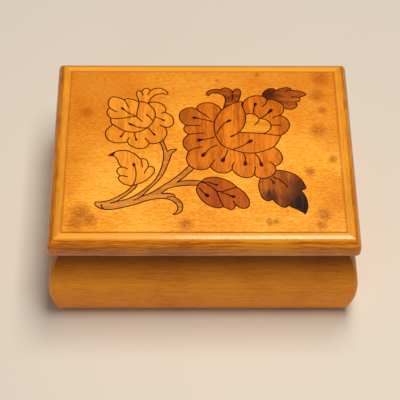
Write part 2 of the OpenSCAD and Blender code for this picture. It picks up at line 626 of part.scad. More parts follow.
module rose_petals_marks() {
    line_mark([[-3.1, 23], [-1.6, 21.4], [0, 20.1], [1.6, 18.8], [2.8, 17.7]]);
    line_mark([[-8.1, 13.4], [-6, 13.2], [-3.6, 13.3], [-1.5, 13.1]]);
    line_mark([[-6.9, 8], [-4.9, 8.3], [-2.4, 8.7], [0.1, 8.8]]);
    line_mark([[-6.8, -1.7], [-5.2, -0.5], [-3, 0.3], [-0.5, 0.9]]);
    line_mark([[3, -10.3], [3.8, -8.5], [5.1, -6.5]]);
    line_mark([[13, -11.8], [13.2, -9.8], [13.9, -8]]);
    line_mark([[23.2, -14.5], [23.4, -12.6], [23.7, -10.6]]);
    line_mark([[32.7, -10], [31.7, -8.7], [30.5, -7.4]]);
    line_mark([[36.2, 19.2], [34.6, 18.9], [32.8, 17.7]]);
    line_mark([[30.6, 28.8], [29.9, 26.4], [28.2, 24.5]], 0.6);
    line_mark([[31.9, 13.6], [34, 13.5], [36.3, 13.5]], 0.6);
    vein([[5.1, 15.2], [2.5, 16.2], [-0.4, 16.9], [-2.3, 17.5], [-5.2, 17.9]], 1.5);
    vein([[5.4, 6.6], [3.4, 5.9], [1.2, 5.3], [0, 5.1], [-3.1, 4.5]], 1.8);
    vein([[6.6, 1.9], [4.4, 1], [2.4, -0.7], [1.2, -2.1], [-0.9, -4.8]], 1.9);
    vein([[11.2, -0.8], [10.6, -3], [9.8, -4.6], [8.4, -7.8]], 2);
    vein([[18.4, -2.9], [19.2, -5], [19.3, -6.8], [19.1, -9.9]], 1.9);
    vein([[23.8, -3], [25.3, -5], [25.9, -6.8], [26.8, -10.4]], 1.7);
    vein([[27.2, 17.8], [28.8, 18.8], [30.2, 20.2], [32.9, 23]], 1.7);
    vein([[23.6, 20.4], [23.9, 22.4], [24.3, 24.2], [25.1, 26.9]], 1.6);
}

rose_bud_outline = [
    [[18.6, 27.4], [16, 27], [13.4, 25.9], [11, 24.4], [8.8, 22.4], [7, 19.7], [5.6, 16.5], [5.1, 13],
     [5.3, 9.5], [6, 6.5], [7.3, 3.7], [9, 1.6], [11.4, 0], [14.5, -1.1], [18, -2.3], [21.6, -2.7],
     [25.1, -2.3], [28.6, -1.2], [31.2, 0.1], [32.5, 0.9]],
    [[32.5, 0.9], [34.3, 3.2], [35.5, 5.6], [36.1, 7.4]],
    [[36.1, 7.4], [34, 7.6], [31.6, 8], [28, 8.6], [24, 8.9], [20, 9.1], [16.8, 9.3]],
    [[16.8, 9.3], [18.4, 11.8], [19.5, 14.2], [20, 17.4], [20, 19.8], [19.4, 22], [18.8, 24.6],
     [19.2, 26.9]],
    [[19.2, 26.9], [18.6, 27.4]]
];

module rose_bud_marks() {
    vein([[16.8, 9.3], [15.6, 8.4], [14.6, 7.7], [12.5, 6.6]], 1.1);
    vein([[6.3, 8.4], [7.4, 11], [9.1, 13.6], [10.3, 14.9], [13.2, 16.6]], 1.4);
    vein([[13.3, -0.7], [16, 0.4], [18.5, 1.7], [20, 2.8], [22.9, 5]], 1.8);
    // dark fold at the top of the bud
    polygon(outline([
        [[18.6, 27.4], [18.1, 26], [18.3, 24.6], [18.8, 23]],
        [[18.8, 23], [19.1, 25], [19.3, 26.9]],
        [[19.3, 26.9], [18.6, 27.4]]
    ]));
}

rose_heart_outline = [
    [[20, 19.7], [21.4, 20.2], [23, 20.1], [24.8, 19.4], [26.4, 17.6]],
    [[26.4, 17.6], [28.5, 17], [30.4, 16.1], [31.5, 14.6], [31.8, 12.9], [31.4, 11.2], [29.9, 9.5],
     [28.2, 8.7]],
    [[28.2, 8.7], [24, 8.9], [20, 9.1], [16.8, 9.3]],
    [[16.8, 9.3], [18.4, 11.8], [19.5, 14.2], [20, 17.2], [20, 19.7]]
];

module rose_heart_marks() {
    line_mark([[26.4, 17.6], [26.2, 16.2], [25.4, 14.9], [24.2, 13.6]], 0.55);
}

// The inlay from the bottom layer to the top: a later shape is cut out of every earlier one
inlay_outlines = [
    [stems_outline], [left_leaf_outline], [bud_leaf_outline], [dark_leaf_outline], [small_sepal_outline],
    [horned_sepal_outline, top_leaf_outline], [small_rose_outline], [rose_petals_outline],
    [rose_bud_outline], [rose_heart_outline]
];
inlay_layers = len(inlay_outlines);

module inlay_shape(i) {
    for (strokes = inlay_outlines[i])
        polygon(outline(strokes));
}

module inlay_edge(i) {
    for (strokes = inlay_outlines[i])
        for (stroke = strokes)
            line_mark(stroke);
}

module inlay_marks(i) {
    if (i == 0) stems_marks();
    if (i == 1) left_leaf_marks();
    if (i == 2) bud_leaf_marks();
    if (i == 3) dark_leaf_marks();
    if (i == 4) small_sepal_marks();
    if (i == 5) dark_sepals_marks();
    if (i == 6) small_rose_marks();
    if (i == 7) rose_petals_marks();
    if (i == 8) rose_bud_marks();
    if (i == 9) rose_heart_marks();
}

module inlay_above(i) {
    for (j = [i + 1 : 1 : inlay_layers - 1])
        inlay_shape(j);
}

module kerf_lines() {
    for (i = [0 : inlay_layers - 1])
        difference() {
            union() {
                inlay_edge(i);
                intersection() {
                    inlay_marks(i);
                    inlay_shape(i);
                }
            }
            inlay_above(i);
        }
}

// A flat piece of the face veneer; the small inset keeps neighbours from overlapping
module veneer_piece(inset = fit) {
    translate([0, 0, box_h - veneer_t])
        linear_extrude(veneer_t)
            offset(delta = -inset)
                children();
}

module inlay_piece(i) {
    veneer_piece()
        difference() {
            inlay_shape(i);
            inlay_above(i);
            kerf_lines();
        }
}

module lid_ground_veneer() {
    color("orange")
        veneer_piece()
            difference() {
                square([2 * panel_half_w, 2 * panel_half_d], center = true);
                for (i = [0 : inlay_layers - 1])
                    inlay_shape(i);
                kerf_lines();
            }
}

module inlay_kerf_fill() {
    color([0.2, 0.08, 0.03])
        veneer_piece(fit / 4)
            kerf_lines();
}

module inlay_stems() {
    color("darkgoldenrod")
        inlay_piece(0);
}

module inlay_left_leaf() {
    color("orange")
        inlay_piece(1);
}

module inlay_bud_leaf() {
    color("chocolate")
        inlay_piece(2);
}

module inlay_dark_leaf() {
    color([0.3, 0.15, 0.05])
        inlay_piece(3);
}

module inlay_small_sepal() {
    color("peru")
        inlay_piece(4);
}

module inlay_dark_sepals() {
    color("saddlebrown")
        inlay_piece(5);
}

module inlay_small_rose() {
    color("orange")
        inlay_piece(6);
}

module inlay_rose_petals() {
    color("darkorange")
        inlay_piece(7);
}

module inlay_rose_bud() {
    color("darkorange")
        inlay_piece(8);
}

module inlay_rose_heart() {
    color("moccasin")
        inlay_piece(9);
}

// ---- inside of the case ----
partition_right = partition_x + partition_t;
partition_h = 33.5;
ledge = 3;
pane_t = 1.8;
pane_gap = 0.3;

module bottom_board() {
    color("burlywood")
        difference() {
            translate([-inner_x - groove + 0.1, -inner_y - groove + 0.1, board_z + 0.02])
                cube([2 * (inner_x + groove - 0.1), 2 * (inner_y + groove - 0.1), board_t - 0.04]);
            translate([arbor_x, arbor_y, board_z - 1])
                cylinder(r = board_hole_r, h = board_t + 2);
            at_movement_screws(board_z - 1)
                cylinder(r = plate_screw_r + 0.1, h = board_t + 2);
        }
}

module corner_blocks() {
    leg = 11;
    color("tan")
        for (sx = [-1, 1], sy = [-1, 1])
            translate([sx * inner_x, sy * inner_y, pad_t])
                linear_extrude(board_z - pad_t)
                    polygon([[0, 0], [-sx * leg, 0], [0, -sy * leg]]);
}

module foot_pads() {
    pad_r = 4.2;
    color("darkgreen")
        for (sx = [-1, 1], sy = [-1, 1])
            translate([sx * (inner_x + 4.2), sy * (inner_y + 4.2), 0])
                cylinder(r = pad_r, h = pad_t);
}

module partition() {
    color("peru")
        translate([partition_x, -inner_y, floor_z])
            cube([partition_t, 2 * inner_y, partition_h]);
}

module pane_ledges() {
    color("peru")
        for (side = [-1, 1])
            translate([-inner_x, side * (inner_y - ledge / 2) - ledge / 2, pane_z - ledge])
                cube([inner_x + partition_x, ledge, ledge]);
}

module cover_pane() {
    notch_r = 8;
    color("aliceblue", 0.4)
        difference() {
            translate([-inner_x + pane_gap, -inner_y + pane_gap, pane_z])
                cube([inner_x + partition_x - 2 * pane_gap, 2 * (inner_y - pane_gap), pane_t]);
            translate([worm_x, worm_y, pane_z - 1])
                cylinder(r = bushing_r + 0.5, h = pane_t + 2);
            translate([(partition_x - inner_x) / 2, -inner_y, pane_z - 1])
                cylinder(r = notch_r, h = pane_t + 2);
        }
}

module well_lining() {
    well_x = partition_right;
    well_w = inner_x - partition_right;
    lining_h = 31;
    color("darkred") {
        translate([well_x, -inner_y, floor_z])
            cube([well_w, 2 * inner_y, lining_t]);
        for (side = [-1, 1])
            translate([well_x, side * (inner_y - lining_t / 2) - lining_t / 2, floor_z + lining_t])
                cube([well_w, lining_t, lining_h]);
        for (x = [well_x, inner_x - lining_t])
            translate([x, -inner_y + lining_t, floor_z + lining_t])
                cube([lining_t, 2 * (inner_y - lining_t), lining_h]);
    }
}

// ---- movement layout ----
plate_left = -55.5;
plate_right = -9.6;
plate_front = -20;
plate_back = 34;
plate_t = 2.5;
plate_top = floor_z + plate_t;
board_hole_r = 6;
plate_screw_r = 1.1;
thread_core = 0.1;

// winding arbor and barrel
arbor_x = -28.5;
arbor_y = 20.8;
arbor_r = 2.5;
run_fit = 0.05;
barrel_r = 12.25;
barrel_z = plate_top + 0.7;
cover_t = 0.9;
drum_wall = 0.85;
drum_top_t = 1;
crown_z = plate_top + 7.1;
crown_inner_r = 10.25;
crown_teeth = 45;
crown_pitch_r = 11.25;

// cylinder
cyl_z = plate_top + 11.5;
cyl_back = 8;
cyl_front = cyl_back - 18.6;
axle_r = 1;
pinion_teeth = 15;
pinion_y = arbor_y - crown_pitch_r;
pin_r_small = 0.2;
pin_reach = 0.5;
wheel_teeth = 36;
wheel_pitch_r = 7.2;
wheel_y = cyl_front - 0.8;

// governor
gov_teeth = 9;
gov_pitch_r = 1.8;
gov_angle = 35;
gov_x = arbor_x + (wheel_pitch_r + gov_pitch_r) * cos(gov_angle);
gov_z = cyl_z - (wheel_pitch_r + gov_pitch_r) * sin(gov_angle);
gov_arbor_r = 0.6;
worm_wheel_teeth = 24;
worm_wheel_r = 4.5;
worm_pitch_r = 1.5;
worm_x = gov_x + worm_wheel_r + worm_pitch_r;
worm_y = -15.8;
worm_lead = 2 * PI * worm_wheel_r / worm_wheel_teeth;
worm_turns = 5;
worm_shaft_r = 0.5;
fan_z = plate_top + 13.2;
fan_h = 4;
fan_r = 4.4;
frame_t = 1.1;
frame_inner_y = -13.6;
frame_outer_y = -18.9;

// comb
comb_z = cyl_z - 0.4;
comb_t = 0.8;
comb_tip_x = arbor_x - cylinder_r - pin_reach - 0.15;
comb_root_x = -45.5;
comb_front = cyl_back + 0.2 - 0.5 - notes * note_pitch;

// stop
bushing_r = 2.2;
rod_r = 0.75;
stop_arm_z = pane_z - 2.2;
bushing_top = pane_z + 2.6;
stop_head_z = bushing_top + 3.8;
stop_top = lid_z - lining_t - 0.1;
stop_disc_z = fan_z + fan_h + 1;

module along_y(y0, length) {
    translate([0, y0 + length, 0])
        rotate([90, 0, 0])
            linear_extrude(length)
                children();
}

// A row of straight-sided teeth round a wheel, as one outline.
// Each corner is a radius and a half-width.
function tooth_ring(n, root_r, tip_r, root_w, tip_w, start) = [
    for (k = [0 : n - 1])
        for (c = [[root_r, -root_w], [tip_r, -tip_w], [tip_r, tip_w], [root_r, root_w]])
            let (a = start + 360 * k / n + atan(c[1] / c[0])) c[0] * [cos(a), sin(a)]
];

// Wire of radius w wound on a cylinder of radius r, with rings of `sides` points
function coil_ring(r, w, a, z, sides) =
    [for (k = [0 : sides - 1])
        let (b = 360 * k / sides) [(r + w * cos(b)) * cos(a), (r + w * cos(b)) * sin(a), z + w * sin(b)]];
function tube_faces(rings, sides) = concat(
    [[for (k = [0 : sides - 1]) k]],
    [for (i = [0 : rings - 2], k = [0 : sides - 1])
        [i * sides + k, (i + 1) * sides + k, (i + 1) * sides + (k + 1) % sides, i * sides + (k + 1) % sides]],
    [[for (k = [sides - 1 : -1 : 0]) (rings - 1) * sides + k]]
);
module coil(r, w, height, turns, steps = 14, sides = 5) {
    rings = turns * steps + 1;
    polyhedron(
        points = [for (i = [0 : rings - 1])
            each coil_ring(r, w, 360 * i / steps, w + (height - 2 * w) * i / (rings - 1), sides)],
        faces = tube_faces(rings, sides),
        convexity = 10
    );
}

module at_movement_screws(z) {
    for (x = [-52, -15], y = [-16, 30])
        translate([x, y, z])
            children();
}

bridge_span = 15;
bridge_screw_r = 0.9;
module at_pillars(z) {
    for (side = [-1, 1])
        translate([arbor_x + side * bridge_span, arbor_y, z])
            children();
}

gov_screw_spots = [[-25.6, -15.8], [-11.6, -15.8]];
bracket_screw_spots = [[worm_x - 2.4, -27.5], [worm_x + 2.4, -27.5]];
small_screw_r = 0.7;
small_head_r = 1.2;
comb_screw_r = 1.2;
comb_screw_x = -50.5;
comb_screw_ys = [-7.3, -1.3, 4.7];

// Cheese-head screw, head seated at z = 0
module machine_screw(head, head_h, shank, length) {
    difference() {
        union() {
            cylinder(r = head, h = head_h);
            translate([0, 0, -length])
                cylinder(r = shank, h = length + 0.01);
        }
        translate([-head - 1, -0.25, head_h * 0.55])
            cube([2 * head + 2, 0.5, head_h]);
    }
}

module bedplate() {
    ledge_right = -46.3;
    color("darkgoldenrod")
        difference() {
            union() {
                translate([plate_left, plate_front, floor_z])
                    cube([plate_right - plate_left, plate_back - plate_front, plate_t]);
                translate([plate_left, comb_front - 0.5, plate_top - 0.5])
                    cube([ledge_right - plate_left, notes * note_pitch + 1, comb_z - plate_top + 0.5]);
            }
            translate([arbor_x, arbor_y, floor_z - 1])
                cylinder(r = arbor_r + run_fit, h = plate_t + 2);
            at_movement_screws(floor_z - 1)
                cylinder(r = plate_screw_r - thread_core, h = plate_t);
            at_pillars(floor_z - 1)
                cylinder(r = bridge_screw_r - thread_core, h = plate_t + 2);
            for (p = gov_screw_spots)
                translate([p[0], p[1], floor_z - 1])
                    cylinder(r = small_screw_r - thread_core, h = plate_t + 2);
            for (y = comb_screw_ys)
                translate([comb_screw_x, y, comb_z - 6])
                    cylinder(r = comb_screw_r - thread_core, h = 7);
        }
}

module comb() {
    weight_count = 9;
    tooth_w = 0.78 * note_pitch;
    color("lightsteelblue")
        difference() {
            union() {
                translate([plate_left, comb_front, comb_z])
                    cube([comb_root_x - plate_left, notes * note_pitch, comb_t]);
                for (k = [0 : notes - 1])
                    translate([comb_root_x - 0.5, comb_front + (k + 0.5) * note_pitch - tooth_w / 2, comb_z]) {
                        cube([comb_tip_x - comb_root_x + 0.5, tooth_w, comb_t]);
                        if (k < weight_count)
                            translate([comb_tip_x - comb_root_x - 3.4 + 0.25 * k, 0, -1.6 + 0.1 * k])
                                cube([2.6 - 0.25 * k, tooth_w, 1.7 - 0.1 * k]);
                    }
            }
            for (y = comb_screw_ys)
                translate([comb_screw_x, y, comb_z - 1])
                    cylinder(r = comb_screw_r + 0.1, h = comb_t + 2);
        }
}

module comb_screws() {
    color("silver")
        for (y = comb_screw_ys)
            translate([comb_screw_x, y, comb_z + comb_t])
                machine_screw(2.1, 1.4, comb_screw_r, 5);
}

module barrel_bridge() {
    bridge_z = plate_top + 9;
    bridge_t = 1.8;
    half_w = 3.5;
    lug_y = 11.2;
    lug_t = 2;
    pivot_r = 1.5;
    color("gold")
        difference() {
            union() {
                at_pillars(plate_top)
                    cylinder(r = 2, h = bridge_z - plate_top + 0.5);
                at_pillars(bridge_z)
                    cylinder(r = half_w, h = bridge_t);
                translate([arbor_x - bridge_span, arbor_y - half_w, bridge_z])
                    cube([2 * bridge_span, 2 * half_w, bridge_t]);
                translate([arbor_x - 3, lug_y, bridge_z])
                    cube([6, arbor_y - lug_y, bridge_t]);
                translate([arbor_x - 3, lug_y, bridge_z])
                    cube([6, lug_t, cyl_z - bridge_z]);
                translate([arbor_x, 0, cyl_z])
                    along_y(lug_y, lug_t)
                        circle(r = 3);
            }
            translate([arbor_x, arbor_y, bridge_z - 1])
                cylinder(r = pivot_r + run_fit, h = bridge_t + 2);
            translate([arbor_x, 0, cyl_z])
                along_y(lug_y - 1, lug_t + 2)
                    circle(r = axle_r + run_fit);
            at_pillars(plate_top - 1)
                cylinder(r = bridge_screw_r + 0.1, h = bridge_z + bridge_t);
        }
}

module bridge_screws() {
    bridge_top = plate_top + 10.8;
    color("silver")
        at_pillars(bridge_top)
            machine_screw(1.9, 1.2, bridge_screw_r, bridge_top - floor_z - 0.4);
}

module governor_frame() {
    base_t = 1.2;
    base_left = -27.5;
    base_right = -10.1;
    arm_z = plate_top + 11;
    arm_t = 1.2;
    post_left = gov_x - 2.4;
    cyl_post_top = cyl_z + 3;
    color("gold")
        difference() {
            union() {
                translate([base_left, frame_outer_y, plate_top])
                    cube([base_right - base_left, frame_inner_y + frame_t - frame_outer_y, base_t]);
                // inner plate: bearing of the cylinder and of the governor wheel
                translate([base_left - 4, frame_inner_y, plate_top])
                    cube([worm_x + 2.2 - base_left + 4, frame_t, arm_z + arm_t - plate_top]);
                translate([arbor_x - 3, frame_inner_y, plate_top])
                    cube([6, frame_t, cyl_z - plate_top]);
                translate([arbor_x, 0, cyl_z])
                    along_y(frame_inner_y, frame_t)
                        circle(r = cyl_post_top - cyl_z);
                // outer post of the governor wheel
                translate([post_left, frame_outer_y, plate_top])
                    cube([4.8, 1, gov_z - plate_top]);
                translate([gov_x, 0, gov_z])
                    along_y(frame_outer_y, 1)
                        circle(r = 2.4);
                // lower and upper bearing of the worm
                translate([worm_x, worm_y, plate_top])
                    cylinder(r = 1.5, h = 2.4);
                translate([worm_x - 2.2, worm_y, arm_z])
                    cube([4.4, frame_inner_y - worm_y + 0.1, arm_t]);
                translate([worm_x, worm_y, arm_z])
                    cylinder(r = 2.2, h = arm_t);
            }
            translate([arbor_x, 0, cyl_z])
                along_y(frame_inner_y - 1, frame_t + 2)
                    circle(r = axle_r + run_fit);
            translate([gov_x, 0, gov_z])
                along_y(frame_outer_y - 1, frame_inner_y + frame_t - frame_outer_y + 2)
                    circle(r = gov_arbor_r + run_fit);
            translate([worm_x, worm_y, plate_top + 0.6])
                cylinder(r = worm_shaft_r + run_fit, h = 20);
            for (p = gov_screw_spots)
                translate([p[0], p[1], plate_top - 1])
                    cylinder(r = small_screw_r + 0.1, h = base_t + 2);
        }
}

module small_screws() {
    color("silver") {
        for (p = gov_screw_spots)
            translate([p[0], p[1], plate_top + 1.2])
                machine_screw(small_head_r, 0.8, small_screw_r, 3.2);
        for (p = bracket_screw_spots)
            translate([p[0], p[1], floor_z + 1.2])
                machine_screw(small_head_r, 0.8, small_screw_r, 4);
    }
}

module clutch_spring() {
    wire_r = 0.25;
    height = 2.7;
    color("silver")
        translate([arbor_x, arbor_y, floor_z - height - 0.1])
            coil(arbor_r + 0.12 + wire_r, wire_r, height, 4);
}

module movement_screws() {
    color("silver")
        at_movement_screws(board_z)
            mirror([0, 0, 1])
                machine_screw(2.2, 1.4, plate_screw_r, floor_z - board_z + 1.4);
}

module stop_bracket() {
    width = 8;
    sheet = 1.2;
    upright_y = -23.7;
    foot_len = 8;
    color("gold")
        difference() {
            union() {
                translate([worm_x - width / 2, upright_y - foot_len + sheet, floor_z])
                    cube([width, foot_len, sheet]);
                translate([worm_x - width / 2, upright_y, floor_z])
                    cube([width, sheet, stop_arm_z + sheet - floor_z]);
                translate([worm_x - width / 2, upright_y, stop_arm_z])
                    cube([width, worm_y - upright_y, sheet]);
                translate([worm_x, worm_y, stop_arm_z])
                    cylinder(r = width / 2, h = sheet);
                translate([worm_x, worm_y, stop_arm_z])
                    cylinder(r = bushing_r, h = bushing_top - stop_arm_z);
            }
            translate([worm_x, worm_y, stop_arm_z - 1])
                cylinder(r = rod_r + run_fit, h = 10);
            for (p = bracket_screw_spots)
                translate([p[0], p[1], floor_z - 1])
                    cylinder(r = small_screw_r + 0.1, h = sheet + 2);
        }
}

module plunger_spring() {
    color("silver")
        translate([worm_x, worm_y, bushing_top + 0.05])
            coil(1.6, 0.22, stop_head_z - bushing_top - 0.1, 5);
}

module cylinder_body() {
    tube_t = 0.8;
    end_t = 1;
    translate([arbor_x, 0, cyl_z])
        difference() {
            along_y(cyl_front, cyl_back - cyl_front)
                circle(r = cylinder_r);
            along_y(cyl_front + end_t, cyl_back - cyl_front - 2 * end_t)
                circle(r = cylinder_r - tube_t);
            along_y(cyl_front - 1, cyl_back - cyl_front + 2)
                circle(r = axle_r + fit);
        }
}

// The tune: an even scatter of pins, each on the track of one tooth
module cylinder_pins() {
    track_turn = 67;
    pin_turn = 360 / pins_per_track;
    color("silver")
        for (k = [0 : notes - 1], j = [0 : pins_per_track - 1])
            translate([arbor_x, comb_front + (k + 0.5) * note_pitch, cyl_z])
                rotate([0, track_turn * k + pin_turn * j + 11 * ((k * 5 + j * 3) % 4), 0])
                    translate([0, 0, cylinder_r - 0.3])
                        cylinder(r = pin_r_small, h = 0.3 + pin_reach);
}

module cylinder_arbor() {
    arbor_end = 13.2;
    color("silver")
        translate([arbor_x, 0, cyl_z])
            union() {
                along_y(frame_inner_y, arbor_end - frame_inner_y)
                    circle(r = axle_r);
                along_y(pinion_y - 1, 2)
                    polygon(tooth_ring(pinion_teeth, 3.15, 4.15, 0.3, 0.14, -90));
            }
}

module cylinder_wheel() {
    color("goldenrod")
        translate([arbor_x, 0, cyl_z])
            difference() {
                along_y(wheel_y - 0.5, 1)
                    polygon(tooth_ring(wheel_teeth, 6.7, 7.52, 0.28, 0.14, -gov_angle));
                along_y(wheel_y - 2, 4)
                    circle(r = axle_r + fit);
            }
}

module barrel() {
    drum_h = crown_z - drum_top_t - barrel_z - cover_t;
    tooth_h = 1.05;
    color("goldenrod")
        translate([arbor_x, arbor_y, 0])
            difference() {
                union() {
                    translate([0, 0, barrel_z + cover_t])
                        difference() {
                            cylinder(r = barrel_r, h = drum_h + drum_top_t);
                            translate([0, 0, -1])
                                cylinder(r = barrel_r - drum_wall, h = drum_h + 1);
                        }
                    for (k = [0 : crown_teeth - 1])
                        rotate([0, 0, 360 * (k + 0.5) / crown_teeth - 90])
                            translate([crown_inner_r, 0, crown_z - 0.05])
                                rotate([90, 0, 90])
                                    linear_extrude(barrel_r - 0.15 - crown_inner_r)
                                        polygon([[-0.27, 0], [0.27, 0], [0.14, tooth_h + 0.05],
                                                 [-0.14, tooth_h + 0.05]]);
                }
                translate([0, 0, barrel_z])
                    cylinder(r = arbor_r + run_fit, h = 12);
            }
}

module barrel_cover() {
    color("gold")
        translate([arbor_x, arbor_y, barrel_z])
            difference() {
                cylinder(r = barrel_r, h = cover_t);
                translate([0, 0, -1])
                    cylinder(r = arbor_r + run_fit, h = cover_t + 2);
            }
}

module mainspring() {
    blade = 0.3;
    inner_r = 3.9;
    outer_r = barrel_r - drum_wall - 0.2 - blade / 2;
    steps = 24;
    turn_rise = (outer_r - inner_r) / (spring_turns * steps);
    path = [for (i = [0 : spring_turns * steps])
        let (a = 360 * i / steps) (inner_r + turn_rise * i) * [cos(a), sin(a)]];
    color("steelblue")
        translate([arbor_x, arbor_y, barrel_z + cover_t + 0.5])
            linear_extrude(3.4)
                polygon(ribbon(path, [for (q = path) blade]));
}

module winding_arbor() {
    stud_r = 1.75;
    stud_len = 7;
    shoulder_z = board_z - 0.4;
    color("silver")
        translate([arbor_x, arbor_y, 0])
            union() {
                translate([0, 0, shoulder_z - stud_len])
                    cylinder(r = stud_r, h = stud_len + 0.5);
                translate([0, 0, shoulder_z])
                    cylinder(r = arbor_r, h = crown_z + 0.8 - shoulder_z);
                translate([0, 0, barrel_z + cover_t + 0.3])
                    cylinder(r = 3.3, h = 3.8);
                translate([3, -0.4, barrel_z + cover_t + 1])
                    cube([0.6, 0.8, 2.4]);
                translate([0, 0, crown_z])
                    cylinder(r = 1.5, h = 3.7);
            }
}

module winding_key() {
    hub_r = 3.3;
    hub_z = 4.5;
    wing_t = 1.6;
    lobe_r = 4.4;
    lobe_x = 7.2;
    lobe_z = 6.6;
    color("gold")
        translate([arbor_x, arbor_y, 0])
            difference() {
                union() {
                    translate([0, 0, hub_z])
                        cylinder(r = hub_r, h = board_z - 0.5 - hub_z);
                    along_y(-wing_t / 2, wing_t)
                        difference() {
                            union() {
                                for (side = [-1, 1])
                                    translate([side * lobe_x, lobe_z])
                                        circle(r = lobe_r);
                                translate([-lobe_x, lobe_z - 2.2])
                                    square([2 * lobe_x, 4.4]);
                            }
                            for (side = [-1, 1])
                                translate([side * lobe_x, lobe_z])
                                    circle(r = 1.7);
                        }
                }
                translate([0, 0, hub_z + 1.8])
                    cylinder(r = 1.76, h = 20);
            }
}

module governor_wheel() {
    gap_angle = 180 - gov_angle + 180 / gov_teeth;
    color("goldenrod")
        translate([gov_x, 0, gov_z])
            union() {
                along_y(frame_outer_y, cyl_front - frame_outer_y - 0.1)
                    circle(r = gov_arbor_r);
                along_y(wheel_y - 0.65, 1.3)
                    polygon(tooth_ring(gov_teeth, 1.3, 2.12, 0.2, 0.11, gap_angle));
                along_y(worm_y - 0.5, 1)
                    polygon(tooth_ring(worm_wheel_teeth, 4.1, 4.78, 0.26, 0.13, 0));
                along_y(worm_y - 1, 2)
                    circle(r = 1.3);
            }
}

// Worm: a lobed section twisted upward, right-handed. A gap between threads faces the
// wheel's tooth that points straight at it.
module worm_shaft() {
    steps = 12;
    root_r = 1;
    tip_r = 1.8;
    worm_len = worm_lead * worm_turns;
    half_turns = worm_turns / 2;
    section = [[tip_r, -24], [tip_r, 24], [root_r, 62], [root_r, 100], [root_r, 140], [root_r, 180],
               [root_r, 220], [root_r, 260], [root_r, 298]];
    color("silver")
        translate([worm_x, worm_y, 0])
            union() {
                translate([0, 0, plate_top + 0.7])
                    cylinder(r = worm_shaft_r, h = fan_z + fan_h - plate_top - 0.7);
                translate([0, 0, gov_z - worm_len / 2])
                    rotate([0, 0, -360 * half_turns])
                        linear_extrude(worm_len, twist = -360 * worm_turns, slices = steps * worm_turns, $fn = 9)
                            polygon([for (c = section) c[0] * [cos(c[1]), sin(c[1])]]);
            }
}

module fan() {
    blade_t = 0.4;
    color("gold")
        translate([worm_x, worm_y, fan_z])
            difference() {
                union() {
                    cylinder(r = 1.1, h = fan_h);
                    for (turn = [0, 180])
                        rotate([0, 0, turn]) {
                            translate([0.5, -blade_t / 2, 0])
                                cube([fan_r - 0.9, blade_t, fan_h]);
                            translate([fan_r - 0.9, -blade_t / 2, 0.5])
                                cube([blade_t, 1.4, fan_h - 1]);
                        }
                }
                translate([0, 0, -1])
                    cylinder(r = worm_shaft_r + fit, h = fan_h + 2);
            }
}

module stop_plunger() {
    head_r = 3;
    edge = 0.8;
    color("gold")
        translate([worm_x, worm_y, 0])
            union() {
                translate([0, 0, stop_disc_z])
                    cylinder(r = 2.8, h = 1);
                translate([0, 0, stop_disc_z + 0.5])
                    cylinder(r = rod_r, h = stop_head_z - stop_disc_z);
                translate([0, 0, stop_head_z])
                    cylinder(r = head_r, h = stop_top - stop_head_z - edge);
                translate([0, 0, stop_top - edge])
                    cylinder(r1 = head_r, r2 = head_r - edge, h = edge);
            }
}

module brake_pad() {
    color("dimgray")
        translate([worm_x, worm_y, stop_disc_z - 0.8])
            cylinder(r = 2.4, h = 0.8);
}

front_panel();
back_panel();
left_panel();
right_panel();
bottom_board();
corner_blocks();
foot_pads();
partition();
pane_ledges();
cover_pane();
well_lining();
case_hinge_leaves();
hinge_pins();
case_hinge_screws();
lid_core();
lid_ground_veneer();
lid_front_strip();
lid_back_strip();
lid_left_strip();
lid_right_strip();
lid_lining();
lid_hinge_leaves();
lid_hinge_screws();
inlay_stems();
inlay_left_leaf();
inlay_bud_leaf();
inlay_dark_leaf();
inlay_small_sepal();
inlay_dark_sepals();
inlay_small_rose();
inlay_rose_petals();
inlay_rose_bud();
inlay_rose_heart();
inlay_kerf_fill();
bedplate();
comb();
comb_screws();
barrel_bridge();
bridge_screws();
governor_frame();
small_screws();
clutch_spring();
movement_screws();
stop_bracket();
plunger_spring();
color("gold") cylinder_body();  // cylinder
cylinder_pins();
cylinder_arbor();
cylinder_wheel();
barrel();
barrel_cover();
mainspring();
winding_arbor();
winding_key();
governor_wheel();
worm_shaft();
fan();
stop_plunger();
brake_pad();
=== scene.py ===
import json
import math

import bmesh
import bpy
from mathutils import Matrix, Vector


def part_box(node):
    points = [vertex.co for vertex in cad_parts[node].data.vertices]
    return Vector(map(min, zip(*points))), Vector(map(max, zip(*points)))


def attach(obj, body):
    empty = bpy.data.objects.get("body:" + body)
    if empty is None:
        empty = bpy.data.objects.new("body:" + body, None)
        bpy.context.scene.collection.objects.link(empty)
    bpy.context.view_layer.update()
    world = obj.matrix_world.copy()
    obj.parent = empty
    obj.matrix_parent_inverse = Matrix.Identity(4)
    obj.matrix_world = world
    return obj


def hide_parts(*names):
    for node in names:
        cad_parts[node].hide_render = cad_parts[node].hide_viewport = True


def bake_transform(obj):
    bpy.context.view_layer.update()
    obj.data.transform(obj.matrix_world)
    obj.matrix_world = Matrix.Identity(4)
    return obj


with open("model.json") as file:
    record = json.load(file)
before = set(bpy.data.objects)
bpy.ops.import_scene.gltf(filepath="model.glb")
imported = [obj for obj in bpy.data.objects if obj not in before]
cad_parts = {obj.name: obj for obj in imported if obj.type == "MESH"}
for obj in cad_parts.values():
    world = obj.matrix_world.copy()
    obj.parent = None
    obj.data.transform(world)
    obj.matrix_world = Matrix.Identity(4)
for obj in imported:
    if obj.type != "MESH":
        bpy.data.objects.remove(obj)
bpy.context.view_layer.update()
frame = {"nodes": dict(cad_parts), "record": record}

MM = 0.001
SCENE = bpy.context.scene
FRONT, RIGHT, BACK, LEFT = range(4)


